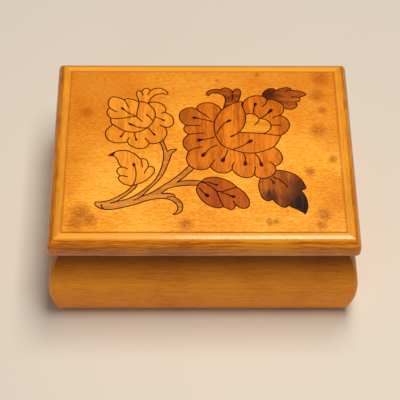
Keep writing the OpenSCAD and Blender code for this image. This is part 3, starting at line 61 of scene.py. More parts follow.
# ---------------------------------------------------------------- mesh helpers
def new_object(name, bm, material=None, smooth=False):
    mesh = bpy.data.meshes.new(name)
    bm.normal_update()
    bm.to_mesh(mesh)
    bm.free()
    for face in mesh.polygons:
        face.use_smooth = smooth
    obj = bpy.data.objects.new(name, mesh)
    SCENE.collection.objects.link(obj)
    if material:
        mesh.materials.append(material)
    return obj


def crease_smooth(obj, degrees=30):
    """Smooth shading with edges sharper than this angle kept sharp."""
    mesh = obj.data
    bm = bmesh.new()
    bm.from_mesh(mesh)
    for edge in bm.edges:
        faces = edge.link_faces
        sharp = len(faces) != 2 or faces[0].normal.angle(faces[1].normal, 0) > math.radians(degrees)
        edge.smooth = not sharp
    for face in bm.faces:
        face.smooth = True
    bm.to_mesh(mesh)
    bm.free()
    return obj


def box_mesh(low, high):
    """A plain box as a bmesh, in millimetres, used to cut other pieces."""
    bm = bmesh.new()
    bmesh.ops.create_cube(bm, size=1)
    for v in bm.verts:
        v.co = [MM * (lo if c < 0 else hi) for c, lo, hi in zip(v.co, low, high)]
    return bm


def rod_mesh(radius, centre, length, segments=32):
    """A rod along X as a bmesh, in millimetres, used to cut other pieces."""
    bm = bmesh.new()
    bmesh.ops.create_cone(bm, cap_ends=True, segments=segments, radius1=radius * MM, radius2=radius * MM,
                          depth=length * MM, matrix=Matrix.Rotation(math.pi / 2, 4, "Y"))
    bmesh.ops.translate(bm, verts=bm.verts, vec=Vector(centre) * MM)
    return bm


def carve(obj, cutters):
    """Cuts each bmesh out of the object and applies the result."""
    for bm in cutters:
        tool = new_object("cutter", bm)
        cut = obj.modifiers.new("cut", "BOOLEAN")
        cut.object = tool
        cut.solver = "EXACT"
        bpy.context.view_layer.update()
        result = bpy.data.meshes.new_from_object(obj.evaluated_get(bpy.context.evaluated_depsgraph_get()))
        obj.modifiers.clear()
        obj.data = result
        bpy.data.objects.remove(tool)
    return obj


def place(piece, body, slot, *nodes):
    """Hands a finished piece to the frame: ties it to its body and hides the CAD nodes it stands for. The slot is
    not used.
    """
    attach(piece, body)
    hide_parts(*nodes)
    return piece


# ---------------------------------------------------------------- node helpers
class Nodes:
    """A small wrapper for building shader trees."""

    def __init__(self, name):
        self.material = bpy.data.materials.new(name)
        self.material.use_nodes = True
        self.tree = self.material.node_tree
        self.shader = self.tree.nodes["Principled BSDF"]
        self.coord = self.tree.nodes.new("ShaderNodeTexCoord").outputs["Object"]

    def new(self, kind, **props):
        n = self.tree.nodes.new(kind)
        for key, value in props.items():
            setattr(n, key, value)
        return n

    def link(self, a, b):
        self.tree.links.new(a, b)

    def feed(self, socket, value):
        if isinstance(value, bpy.types.NodeSocket):
            self.link(value, socket)
        else:
            socket.default_value = value

    def mapping(self, scale=(1, 1, 1), rotate=(0, 0, 0), move=(0, 0, 0), source=None):
        n = self.new("ShaderNodeMapping")
        self.link(source or self.coord, n.inputs["Vector"])
        n.inputs["Scale"].default_value = scale
        n.inputs["Rotation"].default_value = rotate
        n.inputs["Location"].default_value = move
        return n.outputs[0]

    def noise(self, vector, scale, detail=4, roughness=0.5, distortion=0, color=False):
        n = self.new("ShaderNodeTexNoise")
        self.link(vector, n.inputs["Vector"])
        n.inputs["Scale"].default_value = scale
        n.inputs["Detail"].default_value = detail
        n.inputs["Roughness"].default_value = roughness
        n.inputs["Distortion"].default_value = distortion
        return n.outputs["Color" if color else 0]

    def math(self, op, a, b=0.0, c=0.0, clamp=False):
        n = self.new("ShaderNodeMath", operation=op, use_clamp=clamp)
        for socket, value in zip(n.inputs, (a, b, c)):
            self.feed(socket, value)
        return n.outputs[0]

    def ramp(self, fac, stops, mode="LINEAR"):
        n = self.new("ShaderNodeValToRGB")
        n.color_ramp.interpolation = mode
        items = n.color_ramp.elements
        while len(items) < len(stops):
            items.new(0.5)
        for item, (pos, value) in zip(items, stops):
            item.position = pos
            if isinstance(value, (int, float)):
                value = (value, value, value)
            item.color = (*value[:3], 1)
        self.link(fac, n.inputs["Fac"])
        return n.outputs["Color"]

    def span(self, value, low, high, to_low=0.0, to_high=1.0):
        n = self.new("ShaderNodeMapRange", clamp=True)
        self.link(value, n.inputs["Value"])
        for key, number in (("From Min", low), ("From Max", high), ("To Min", to_low), ("To Max", to_high)):
            n.inputs[key].default_value = number
        return n.outputs[0]

    def mix(self, fac, a, b, mode="MIX"):
        n = self.new("ShaderNodeMix", data_type="RGBA", blend_type=mode)
        self.feed(n.inputs["Factor"], fac)
        for socket, value in ((n.inputs[6], a), (n.inputs[7], b)):
            if isinstance(value, tuple):
                socket.default_value = (*value[:3], 1)
            else:
                self.link(value, socket)
        return n.outputs[2]

    def scaled(self, vector, by):
        n = self.new("ShaderNodeVectorMath", operation="SCALE")
        self.link(vector, n.inputs[0])
        n.inputs["Scale"].default_value = by
        return n.outputs[0]

    def added(self, a, b):
        n = self.new("ShaderNodeVectorMath", operation="ADD")
        self.link(a, n.inputs[0])
        self.link(b, n.inputs[1])
        return n.outputs[0]

    def near(self, vector, place, radius):
        """1 near a place on the X, Y plane, in the vector's units, falling to 0 at the radius."""
        n = self.new("ShaderNodeVectorMath", operation="DISTANCE")
        self.link(self.mapping(scale=(1, 1, 0), source=vector), n.inputs[0])
        n.inputs[1].default_value = (*place, 0)
        return self.span(n.outputs["Value"], 0.3 * radius, radius, 1.0, 0.0)

    def outward(self, vector):
        """1 on faces that look away from the middle of the box, and 0 on inner faces and flat tops."""
        n = self.new("ShaderNodeVectorMath", operation="DOT_PRODUCT")
        self.link(self.mapping(scale=(1, 1, 0), source=vector), n.inputs[0])
        self.link(self.new("ShaderNodeTexCoord").outputs["Normal"], n.inputs[1])
        return self.span(n.outputs["Value"], 5, 25)

    def edges(self, radius):
        """1 on edges that handling rubs and 0 on flat faces, within a radius in metres."""
        bevel = self.new("ShaderNodeBevel", samples=4)
        bevel.inputs["Radius"].default_value = radius
        n = self.new("ShaderNodeVectorMath", operation="DOT_PRODUCT")
        self.link(bevel.outputs["Normal"], n.inputs[0])
        self.link(self.new("ShaderNodeNewGeometry").outputs["Normal"], n.inputs[1])
        return self.span(self.math("SUBTRACT", 1.0, n.outputs["Value"]), 0.01, 0.12)

    def split(self, vector=None):
        n = self.new("ShaderNodeSeparateXYZ")
        self.link(vector or self.coord, n.inputs[0])
        return n.outputs

    def bump(self, height, distance, strength=1.0, normal=None):
        n = self.new("ShaderNodeBump")
        n.inputs["Strength"].default_value = strength
        n.inputs["Distance"].default_value = distance
        self.link(height, n.inputs["Height"])
        if normal is not None:
            self.link(normal, n.inputs["Normal"])
        return n.outputs[0]

    def finish(self, color=None, roughness=None, normal=None, **fixed):
        for key, value in (("Base Color", color), ("Roughness", roughness), ("Normal", normal)):
            if value is None:
                continue
            if isinstance(value, tuple):
                value = (*value[:3], 1)
            self.feed(self.shader.inputs[key], value)
        for key, value in fixed.items():
            self.shader.inputs[key.replace("_", " ")].default_value = value
        return self.material


def srgb(r, g, b):
    """An 8-bit screen colour as linear light."""
    def lin(c):
        c /= 255
        return c / 12.92 if c <= 0.04045 else ((c + 0.055) / 1.055) ** 2.4
    return (lin(r), lin(g), lin(b))


# ---------------------------------------------------------------- materials
# Small eyes in the lid's veneer: (x, y, radius) in millimetres
BURLS = [(-55.5, -35.5, 6.5), (-57.5, -41, 5.5), (-51.5, -39, 5), (-8.5, -41.5, 4), (48.6, -12.8, 3.2),
         (53.5, -36.5, 4.5), (52.3, -42, 3.6), (29, -40.5, 2.6), (32, -40.2, 2), (56.5, 41.5, 6),
         (26.2, 44, 2.2), (6.8, 40.3, 1.2), (53.7, 10.5, 5), (-54.8, 20.9, 4), (59.6, -6.1, 3),
         (56.3, 22.3, 3), (54.4, 31, 5)]


def wood(name, dark, mid, light, along="X", fleck=(0.5, 4), streak=(1.6, 34), drift=24,
         mixing=(0.34, 0.40, 0.26), wander=2.4, contrast=1.5, pores=0.3, burls=(), border=None, scorch_and_shade=(),
         scorch_and_shade_color=(0.05, 0.012, 0.002), painted_light_bands=(), hollow=False, gloss=0.32, coat=0.18, shine=0.16,
         wear=0.0):
    """Lacquered wood with its grain along one axis. Lengths are in millimetres.
    fleck, streak: (width, length) of the fine and the long figure. drift: size of the broad colour changes.
    mixing: the share of each of those three. wander: how far the grain bends.
    burls: (x, y, radius) of small eyes in the figure.
    border: (half width, half depth) of a face whose rim has darkened.
    scorch: (x, y, radius, strength) of darker places: scorching on the inlays, and painted shade on the veneer and
    the mouldings.
    toning: (from height, to height, strength, colour) of a band of colour between two heights, painted in to stand
    for light and shade. hollow: only on outward faces.
    wear: how far handling has rubbed the edges back to the light tone."""
    k = Nodes(name)
    base = k.mapping(scale=(1000, 1000, 1000))
    bend = k.noise(k.mapping(scale=(0.04, 0.04, 0.04), source=base), 1.0, 2, color=True)
    bent = k.added(base, k.scaled(bend, wander))

    def layer(width, length, detail, roughness):
        pitch = [1 / width] * 3
        pitch["XYZ".index(along)] = 1 / length
        return k.noise(k.mapping(scale=pitch, source=bent), 1.0, detail, roughness)

    flecks = layer(*fleck, 3, 0.6)
    streaks = layer(*streak, 4, 0.6)
    broad = k.noise(k.mapping(scale=[1 / drift] * 3, source=base), 1.0, 2)
    tone = k.math("MULTIPLY", flecks, mixing[0])
    tone = k.math("ADD", tone, k.math("MULTIPLY", streaks, mixing[1]))
    tone = k.math("ADD", tone, k.math("MULTIPLY", broad, mixing[2]))
    reach = 0.13 / contrast
    color = k.ramp(tone, [(0.5 - reach, dark), (0.5, mid), (0.5 + reach, light)])
    pore = layer(0.28, 3.2, 1, 0.5)
    color = k.mix(k.span(pore, 0.62, 0.74, 0.0, pores), color, tuple(c * 0.5 for c in dark))
    if burls:
        spread = None
        for x, y, radius in burls:
            near = k.near(base, (x, y), radius)
            spread = near if spread is None else k.math("MAXIMUM", spread, near)
        curl = k.noise(base, 0.42, 2, 0.5, 3.6)
        eye = k.math("MULTIPLY", k.span(curl, 0.47, 0.53), spread)
        off_ring = k.math("ABSOLUTE", k.math("SUBTRACT", curl, 0.45))
        ring = k.math("MULTIPLY", k.span(off_ring, 0.015, 0.05, 1.0, 0.0), spread)
        color = k.mix(k.math("MULTIPLY", spread, 0.18), color, dark)
        color = k.mix(k.math("MULTIPLY", eye, 0.7), color, srgb(160, 80, 10))
        color = k.mix(k.math("MULTIPLY", ring, 0.8), color, srgb(96, 42, 4))
    if border:
        x, y, _ = k.split(base)
        rim = [k.span(k.math("ABSOLUTE", c), half - 0.9, half - 0.3) for c, half in zip((x, y), border)]
        color = k.mix(k.math("MULTIPLY", k.math("MAXIMUM", *rim), 0.42), color, srgb(132, 66, 6))
    # Darker places: real scorching on the inlays, and painted shade on the ground veneer and the mouldings.
    for x, y, radius, strength in scorch_and_shade:
        near = k.near(base, (x, y), radius)
        ragged = k.math("MULTIPLY", near, k.span(streaks, 0.25, 0.6, 0.75, 1.25))
        color = k.mix(k.math("MULTIPLY", ragged, strength, clamp=True), color, scorch_and_shade_color)
    # Painted light and shade: bands of colour by height, standing in for the lid's shadow on the case and the light
    # on the moulding's flat top.
    for low, high, strength, tint in painted_light_bands:
        depth = k.span(k.split(base)[2], low, high, 0.0, strength)
        if hollow:
            depth = k.math("MULTIPLY", depth, k.outward(base))
        color = k.mix(depth, color, tint)
    if wear:
        worn = k.math("MULTIPLY", k.edges(0.0007), k.span(streaks, 0.35, 0.6, 0.25, 1.0))
        color = k.mix(k.math("MULTIPLY", worn, wear), color, light)
    rough = k.span(k.noise(base, 0.3, 3), 0.3, 0.75, gloss * 0.8, gloss * 1.35)
    height = k.math("ADD", k.math("MULTIPLY", flecks, 0.6), k.math("MULTIPLY", pore, 0.4))
    return k.finish(color, rough, k.bump(height, 0.00003, 0.3), Coat_Weight=coat, Coat_Roughness=0.12,
                    Specular_IOR_Level=shine)


def metal(name, color, rough=0.25, brushed=None, stain=0.25):
    """Metal with tarnish in clouds and fine lines along the axis it was brushed or turned on."""
    k = Nodes(name)
    base = k.mapping(scale=(1000, 1000, 1000))
    cloud = k.noise(base, 0.18, 4, 0.6)
    fine_scale = {None: (1, 1, 1), "X": (0.04, 1, 1), "Y": (1, 0.04, 1), "Z": (1, 1, 0.04)}[brushed]
    fine = k.noise(k.mapping(scale=fine_scale, source=base), 4.5, 3, 0.7)
    darker = tuple(c * 0.62 for c in color)
    tint = k.mix(k.span(cloud, 0.35, 0.72, 0.0, stain), color, darker)
    tint = k.mix(k.span(fine, 0.45, 0.75, 0.0, 0.18), tint, darker)
    brushing = k.span(fine, 0.3, 0.7, rough * 0.8, rough * 1.25)
    roughness = k.math("ADD", brushing, k.span(cloud, 0.4, 0.7, 0.0, 0.06))
    return k.finish(tint, roughness, k.bump(fine, 0.00001, 0.3), Metallic=1.0)


def cloth(name, dark, light, pile=1.0):
    """Velvet or felt: a fine pile with crushed, darker patches. A larger pile number is a finer pile."""
    k = Nodes(name)
    base = k.mapping(scale=(1000, 1000, 1000))
    tuft = k.noise(base, 3.2 * pile, 3, 0.7)
    nap = k.noise(k.mapping(scale=(0.1, 0.16, 0.13), source=base), 1.0, 3, 0.5)
    color = k.mix(k.span(tuft, 0.3, 0.72), dark, light)
    color = k.mix(k.span(nap, 0.4, 0.68, 0.0, 0.45), color, tuple(c * 0.5 for c in dark))
    k.finish(color, k.span(tuft, 0.3, 0.7, 0.82, 0.98), k.bump(tuft, 0.00018, 0.7), Specular_IOR_Level=0.2,
             Sheen_Weight=0.6, Sheen_Roughness=0.4)
    k.shader.inputs["Sheen Tint"].default_value = (*light, 1)
    return k.material


def acrylic(name):
    """Clear plastic with faint scratches and smears."""
    k = Nodes(name)
    base = k.mapping(scale=(1000, 1000, 1000))
    scratch = k.noise(k.mapping(scale=(0.05, 2.2, 1), rotate=(0, 0, 0.5), source=base), 1.0, 4, 0.7)
    smear = k.noise(k.mapping(scale=(0.06, 0.05, 0.06), source=base), 1.0, 3)
    rough = k.math("ADD", k.span(scratch, 0.55, 0.8, 0.02, 0.14), k.span(smear, 0.45, 0.7, 0.0, 0.05))
    tint = k.mix(k.span(smear, 0.4, 0.7), (0.96, 0.985, 0.98), (0.90, 0.95, 0.94))
    return k.finish(tint, rough, k.bump(scratch, 0.000004, 0.2), Transmission_Weight=1.0, IOR=1.49)


BODY_WOOD = (srgb(200, 108, 10), srgb(240, 145, 26), srgb(252, 168, 46))
MOULDING = (srgb(158, 80, 2), srgb(204, 116, 6), srgb(226, 146, 26))
PLAIN_WOOD = (srgb(176, 138, 92), srgb(206, 172, 122), srgb(222, 194, 150))
# The case's bands of colour by height are painted shade: the walls darken from 30 mm up and go nearly black just
# under the lid, where its overhang shades them. They are kept to the outward faces.
BODY_GRAIN = dict(fleck=(0.5, 7), streak=(0.9, 32), mixing=(0.42, 0.32, 0.26), pores=0.4, contrast=0.85,
                  painted_light_bands=[(30, 51, 0.94, srgb(78, 27, 0)), (48, 52.5, 0.95, srgb(30, 7, 0))], hollow=True,
                  gloss=0.42, coat=0.02, shine=0.1, wear=0.5)
MOULDING_GRAIN = dict(fleck=(0.4, 8), streak=(1.0, 50), mixing=(0.4, 0.4, 0.2), pores=0.2,
                      gloss=0.26, coat=0.3, shine=0.2, wear=0.35)
# Painted highlight: the moulding's flat top, between these heights, is lightened as if it caught the light from
# above.
FLAT_Z = (62.9, 63.3)
FLAT_PAINTED_HIGHLIGHT = srgb(252, 176, 60)
# Painted shade along the back moulding, darker where it lies farther from the light.
BACK_PAINTED_SHADE = [(-45, 52, 50, 0.42), (0, 52, 40, 0.42), (45, 52, 50, 0.42)]
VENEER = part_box("lid_ground_veneer")[1] / MM
# Painted shade on the ground veneer towards its back and its sides, where less light falls. It is drawn in the
# scorch colour given below.
VENEER_PAINTED_SHADE = [(-50, 36, 48, 0.5), (56, 44, 50, 0.42), (4, 54, 34, 0.4), (-66, -10, 22, 0.3),
                (62, -30, 16, 0.25), (62, 6, 16, 0.25)]

MATS = {
    "ground_veneer": wood("ground_veneer", srgb(222, 128, 22), srgb(244, 158, 38), srgb(255, 182, 66),
                          fleck=(0.42, 1.9), streak=(0.6, 6), mixing=(0.5, 0.26, 0.24), wander=0.6, burls=BURLS,
                          border=(VENEER.x, VENEER.y), pores=0.2, contrast=1.7, scorch_and_shade=VENEER_PAINTED_SHADE,
                          scorch_and_shade_color=srgb(190, 88, 2)),
    "case_veneer": wood("case_veneer", *BODY_WOOD, **BODY_GRAIN),
    # Front and back mouldings: a painted highlight on the flat top, and painted shade along the back.
    "moulding_wood": wood("moulding_wood", *MOULDING, painted_light_bands=[(*FLAT_Z, 0.75, FLAT_PAINTED_HIGHLIGHT)], scorch_and_shade=BACK_PAINTED_SHADE,
                          scorch_and_shade_color=srgb(176, 86, 4), **MOULDING_GRAIN),
    "secondary_wood": wood("secondary_wood", *PLAIN_WOOD, gloss=0.6, coat=0.0),
    "inlay_stem": wood("inlay_stem", srgb(176, 96, 28), srgb(206, 124, 42), srgb(222, 146, 62)),
    "inlay_pale": wood("inlay_pale", srgb(214, 120, 18), srgb(236, 144, 32), srgb(248, 164, 50), "Y"),
    "inlay_orange": wood("inlay_orange", srgb(176, 82, 2), srgb(210, 108, 8), srgb(230, 132, 22), "Y",
                         scorch_and_shade=[(-11, 19, 10, 0.5), (-10, 1, 7, 0.35), (40, 10, 6, 0.3)],
                         scorch_and_shade_color=srgb(104, 40, 2)),
    "inlay_heart": wood("inlay_heart", srgb(204, 116, 14), srgb(226, 138, 26), srgb(242, 160, 44)),
    "inlay_brown": wood("inlay_brown", srgb(116, 48, 2), srgb(166, 78, 8), srgb(198, 108, 20),
                        scorch_and_shade=[(30, 32, 8, 0.75), (11, 22, 6, 0.4)], scorch_and_shade_color=srgb(52, 18, 2)),
    "inlay_leaf": wood("inlay_leaf", srgb(152, 62, 2), srgb(182, 84, 6), srgb(204, 106, 14), "Y", contrast=1.0,
                       coat=0.15),
    "inlay_black": wood("inlay_black", srgb(120, 50, 4), srgb(170, 84, 14), srgb(206, 118, 34), "Y", contrast=1.2,
                        scorch_and_shade=[(47, -33, 17, 1.0), (45, -20, 8, 0.6), (30, -27, 5, 0.7)],
                        scorch_and_shade_color=(0.014, 0.002, 0.0005), coat=0.12),
    "kerf_filler": wood("kerf_filler", srgb(34, 6, 0), srgb(54, 14, 1), srgb(78, 26, 4), pores=0, coat=0.0,
                        shine=0.05),
    "lining_velvet": cloth("lining_velvet", srgb(72, 6, 14), srgb(150, 24, 36)),
    "pad_felt": cloth("pad_felt", srgb(18, 44, 28), srgb(44, 84, 58), 0.8),
    "clear_cover": acrylic("clear_cover"),
    "hinge_brass": metal("hinge_brass", (0.66, 0.44, 0.15), 0.26),
    "plate_gold": metal("plate_gold", (0.60, 0.43, 0.17), 0.42, None, 0.35),
    "gear_brass": metal("gear_brass", (0.68, 0.46, 0.17), 0.28, "Y"),
    "steel": metal("steel", (0.44, 0.45, 0.47), 0.32, "X"),
    "spring_steel": metal("spring_steel", (0.22, 0.28, 0.42), 0.3, "Z"),
    "screw_steel": metal("screw_steel", (0.52, 0.53, 0.55), 0.22),
}
# Copies with the grain along Y for the side walls and mouldings. The side mouldings' flat top gets a weaker painted
# highlight and no painted shade.
SIDE_WOOD = {
    "case_veneer": wood("case_veneer_sides", *BODY_WOOD, "Y", **BODY_GRAIN),
    "moulding_wood": wood("moulding_wood_sides", *MOULDING, "Y", painted_light_bands=[(*FLAT_Z, 0.45, FLAT_PAINTED_HIGHLIGHT)],
                          **MOULDING_GRAIN),
}

slot_of = {p["node"]: p["material_slot"] for p in frame["record"]["subparts"]}
for node_name, obj in frame["nodes"].items():
    material = MATS[slot_of[node_name]]
    if obj.material_slots:
        for s in obj.material_slots:
            s.material = material
    else:
        obj.data.materials.append(material)


# ---------------------------------------------------------------- case walls and lid mouldings
# Sections are (u, z) outlines in millimetres, with u measured outward from the lid's edge.
lid_low, lid_high = (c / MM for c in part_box("lid_front_strip"))
LID_HALF = (-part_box("lid_left_strip")[0].x / MM, -lid_low.y)
LID_Z, LID_TOP = lid_low.z, lid_high.z
WALL_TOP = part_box("front_panel")[1].z / MM
WALL_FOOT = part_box("front_panel")[0].z / MM
BOARD_LOW, BOARD_TOP = (c.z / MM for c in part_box("bottom_board"))
WALL_IN = LID_HALF[0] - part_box("well_lining")[1].x / MM
STRIP_W = LID_HALF[0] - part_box("lid_ground_veneer")[1].x / MM
BELLY = round(-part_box("front_panel")[0].y / MM - LID_HALF[1], 2)
BELLY_Z, THROAT_Z = 22.0, 45.0
LOW_R, HIGH_R, THROAT_R = 50.0, 60.0, 45.0
WALL_CORNER, LID_CORNER = 1.2, 2.2


def wall_u(z):
    """How far the case wall stands out past the lid's edge at a height."""
    def belly(radius, dz):
        return BELLY - radius + math.sqrt(radius ** 2 - dz ** 2)
    if z < BELLY_Z:
        return belly(LOW_R, BELLY_Z - z)
    if z < THROAT_Z:
        return belly(HIGH_R, z - BELLY_Z)
    slope = math.asin((THROAT_Z - BELLY_Z) / HIGH_R)
    cu = belly(HIGH_R, THROAT_Z - BELLY_Z) + THROAT_R * math.cos(slope)
    cz = THROAT_Z + THROAT_R * math.sin(slope)
    return cu - math.sqrt(THROAT_R ** 2 - (cz - z) ** 2)


def wall_section():
    """A case wall: the curved outside, an eased foot and rim, and the groove for the bottom board."""
    ease, rim, groove = 0.6, 0.3, 2
    foot_u, top_u = wall_u(WALL_FOOT + ease), wall_u(WALL_TOP)
    outline = [(-WALL_IN, WALL_FOOT)]
    for a in range(0, 91, 15):
        t = math.radians(a)
        outline.append((foot_u - ease + ease * math.sin(t), WALL_FOOT + ease - ease * math.cos(t)))
    steps = 60
    for i in range(1, steps):
        z = WALL_FOOT + ease + (WALL_TOP - rim - WALL_FOOT - ease) * i / steps
        outline.append((wall_u(z), z))
    outline += [(top_u, WALL_TOP - rim), (top_u - 0.1, WALL_TOP - 0.08), (top_u - rim, WALL_TOP),
                (-WALL_IN, WALL_TOP), (-WALL_IN, BOARD_TOP), (-WALL_IN + groove, BOARD_TOP),
                (-WALL_IN + groove, BOARD_LOW), (-WALL_IN, BOARD_LOW)]
    return outline


def strip_section():
    """A lid moulding: an eased lower edge, the quarter roll, the flat and the groove beside the veneer."""
    ease, groove = 0.5, 0.4
    roll_w, roll_h = 5.2, 5.9
    outline = [(-STRIP_W, LID_Z), (-ease, LID_Z)]
    for a in range(-75, 1, 15):
        t = math.radians(a)
        outline.append((-ease + ease * math.cos(t), LID_Z + ease + ease * math.sin(t)))
    for a in range(0, 91, 3):
        t = math.radians(a)
        outline.append((-roll_w + roll_w * math.cos(t), LID_TOP - roll_h + roll_h * math.sin(t)))
    outline += [(-STRIP_W + groove, LID_TOP), (-STRIP_W, LID_TOP - groove)]
    return outline


def framed(name, side, outline, half, corner, material):
    """One side of a mitred frame: a section swept along it, and round half of the corner at each end.
    half is the frame's half width and half depth at u = 0, corner the radius of its corners there."""
    along, across = half if side in (FRONT, BACK) else half[::-1]
    bends = 6
    turn = Matrix.Rotation(math.radians(90 * side), 3, "Z")
    bm = bmesh.new()

    def ring(end, angle):
        made = []
        for u, z in outline:
            if u > -corner:
                x = along - corner + (corner + u) * math.sin(angle)
                y = across - corner + (corner + u) * math.cos(angle)
            else:
                x, y = along + u, across + u
            made.append(bm.verts.new(turn @ Vector((end * x, -y, z)) * MM))
        return made

    angles = [math.radians(45 * i / bends) for i in range(bends + 1)]
    rings = [ring(-1, a) for a in reversed(angles)] + [ring(1, a) for a in angles]
    count = len(outline)
    for a, b in zip(rings, rings[1:]):
        for i in range(count):
            bm.faces.new((a[i], b[i], b[(i + 1) % count], a[(i + 1) % count]))
    bm.faces.new(rings[0])
    bm.faces.new(reversed(rings[-1]))
    bmesh.ops.remove_doubles(bm, verts=bm.verts, dist=1e-7)
    bmesh.ops.recalc_face_normals(bm, faces=bm.faces)
    return new_object(name, bm, material)


def hinge_cutters(in_case):
    """The spaces that the hinges need: a mortise for each leaf and, in the case, room for each knuckle."""
    low, high = (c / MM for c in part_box("case_hinge_leaves"))
    leaf_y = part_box("lid_hinge_leaves")[0].y / MM
    length, leaf_t = 16, 0.7
    case_mortise_w, lid_mortise_w = 9, 7
    knuckle_r, relief_r, relief_play = 1.6, 2, 0.6
    made = []
    for start in (low.x, high.x - length):
        end = start + length
        if in_case:
            made.append(box_mesh((start, low.y, WALL_TOP - leaf_t), (end, low.y + case_mortise_w, WALL_TOP + 1)))
            pin = (start + length / 2, high.y - knuckle_r, low.z + knuckle_r)
            made.append(rod_mesh(relief_r, pin, length + relief_play))
        else:
            made.append(box_mesh((start, leaf_y, LID_Z - 1), (end, leaf_y + lid_mortise_w, LID_Z + leaf_t)))
    return made


for side, word in ((FRONT, "front"), (RIGHT, "right"), (BACK, "back"), (LEFT, "left")):
    turned = side in (RIGHT, LEFT)
    wall = framed(f"{word}_wall", side, wall_section(), LID_HALF, WALL_CORNER,
                  SIDE_WOOD["case_veneer"] if turned else MATS["case_veneer"])
    strip = framed(f"{word}_moulding", side, strip_section(), LID_HALF, LID_CORNER,
                   SIDE_WOOD["moulding_wood"] if turned else MATS["moulding_wood"])
    if side == BACK:
        carve(wall, hinge_cutters(True))
        carve(strip, hinge_cutters(False))
    place(crease_smooth(wall), "case", "case_veneer", f"{word}_panel")
    place(crease_smooth(strip), "lid", "moulding_wood", f"lid_{word}_strip")


# ---------------------------------------------------------------- velvet and felt
def rounded_loop(low, high, inset, radius, steps=6):
    """A rounded rectangle on the X, Y plane, in millimetres, set in from a box's sides."""
    x0, y0 = low.x + inset + radius, low.y + inset + radius
    x1, y1 = high.x - inset - radius, high.y - inset - radius
    points = []
    for cx, cy, start in ((x1, y0, -90), (x1, y1, 0), (x0, y1, 90), (x0, y0, 180)):
        for i in range(steps + 1):
            t = math.radians(start + 90 * i / steps)
            points.append((cx + radius * math.cos(t), cy + radius * math.sin(t)))
    return points


def lofted(name, rings, material):
    """A closed smooth skin through loops of (x, y, z) points, in millimetres, capped at both ends."""
    bm = bmesh.new()
    rows = [[bm.verts.new(Vector(p) * MM) for p in ring] for ring in rings]
    count = len(rows[0])
    for a, b in zip(rows, rows[1:]):
        for i in range(count):
            bm.faces.new((a[i], a[(i + 1) % count], b[(i + 1) % count], b[i]))
    bm.faces.new(reversed(rows[0]))
    bm.faces.new(rows[-1])
    bmesh.ops.recalc_face_normals(bm, faces=bm.faces)
    return new_object(name, bm, material, smooth=True)


def fabric_rings(low, high, stations):
    """Rings for a soft piece: each station is (inset, height, corner radius, ripple)."""
    rings = []
    for inset, z, radius, ripple in stations:
        ring = []
        for x, y in rounded_loop(low, high, inset, radius):
            wave = math.sin(x * 0.31 + y * 0.17 + z * 0.2) + 0.6 * math.sin(x * 0.13 - y * 0.43 + 1.3)
            ring.append((x, y, z + ripple * wave))
        rings.append(ring)
    return rings


def velvet_tray():
    """The well's lining: up the outside of the tray, over a rolled hem, down the inside and across a soft floor."""
    low, high = (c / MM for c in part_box("well_lining"))
    thick, fillet, hem_r = 1.0, 1.6, 0.5
    stations = [(0.8, low.z, 1.0, 0), (0.2, low.z + 0.15, 1.4, 0), (0, low.z + 0.5, 1.5, 0),
                (0, high.z - 12, 1.5, 0), (0, high.z - 0.6, 1.5, 0)]
    for a in range(0, 181, 20):
        t = math.radians(a)
        inset, z = hem_r - hem_r * math.cos(t), high.z - 0.55 + hem_r * math.sin(t)
        stations.append((inset, z, 1.5 - 0.4 * a / 180, 0.03))
    stations.append((thick, high.z - 12, 1.1, 0))
    floor = low.z + thick
    for a in range(0, 91, 15):
        t = math.radians(a)
        stations.append((thick + fillet - fillet * math.cos(t), floor + fillet - fillet * math.sin(t),
                         1.1 - 0.6 * a / 90, 0.02))
    for inset in (3.6, 5, 8, 12, 17, 22, 27):
        rise = 0.45 * min(1, (inset - 2.6) / 10)
        stations.append((inset, floor + rise, 0.5 + inset * 0.1, 0.05))
    tray = lofted("velvet_tray", fabric_rings(low, high, stations), MATS["lining_velvet"])
    place(tray, "case", "lining_velvet", "well_lining")


def velvet_lid_pad():
    """The lid's lining, with its edges turned over."""
    low, high = (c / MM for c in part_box("lid_lining"))
    stations = [(1.2, high.z, 1.5, 0), (0.1, high.z - 0.06, 2.4, 0), (0, high.z - 0.35, 2.5, 0),
                (0.12, high.z - 0.6, 2.4, 0), (0.5, high.z - 0.8, 2.2, 0.01), (1.3, low.z + 0.1, 2, 0.02),
                (4, low.z + 0.07, 2, 0.02), (9, low.z + 0.06, 2, 0.02), (16, low.z + 0.06, 2, 0.02),
                (24, low.z + 0.06, 2, 0.02), (33, low.z + 0.06, 2, 0.02)]
    pad = lofted("velvet_lid_pad", fabric_rings(low, high, stations), MATS["lining_velvet"])
    place(pad, "lid", "lining_velvet", "lid_lining")


def felt_disc(name, centre, radius, low_z, high_z, body, node):
    """A short disc of felt with worn, slightly uneven edges."""
    edge, uneven, lobes, sides = 0.22, 0.04, 5, 40
    half = [(radius * 0.5, 0), (edge * 0.9, 0), (edge * 0.2, edge * 0.4), (0, edge)]
    rings = []
    for inset, z in [(i, low_z + h) for i, h in half] + [(i, high_z - h) for i, h in reversed(half)]:
        ring = []
        for i in range(sides):
            t = math.radians(360 / sides * i)
            r = radius - inset - uneven * (1 + math.sin(lobes * t + centre[0]))
            ring.append((centre[0] + r * math.cos(t), centre[1] + r * math.sin(t), z))
        rings.append(ring)
    disc = lofted(name, rings, MATS["pad_felt"])
    place(disc, body, "pad_felt", node)


def felt_feet(radius=4.2):
    low, high = (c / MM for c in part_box("foot_pads"))
    corners = (("front_left", low.x, low.y), ("front_right", high.x, low.y), ("back_left", low.x, high.y),
               ("back_right", high.x, high.y))
    for word, x, y in corners:
        centre = (x + math.copysign(radius, -x), y + math.copysign(radius, -y))
        felt_disc(f"{word}_felt_foot", centre, radius, low.z, high.z, "case", "foot_pads")


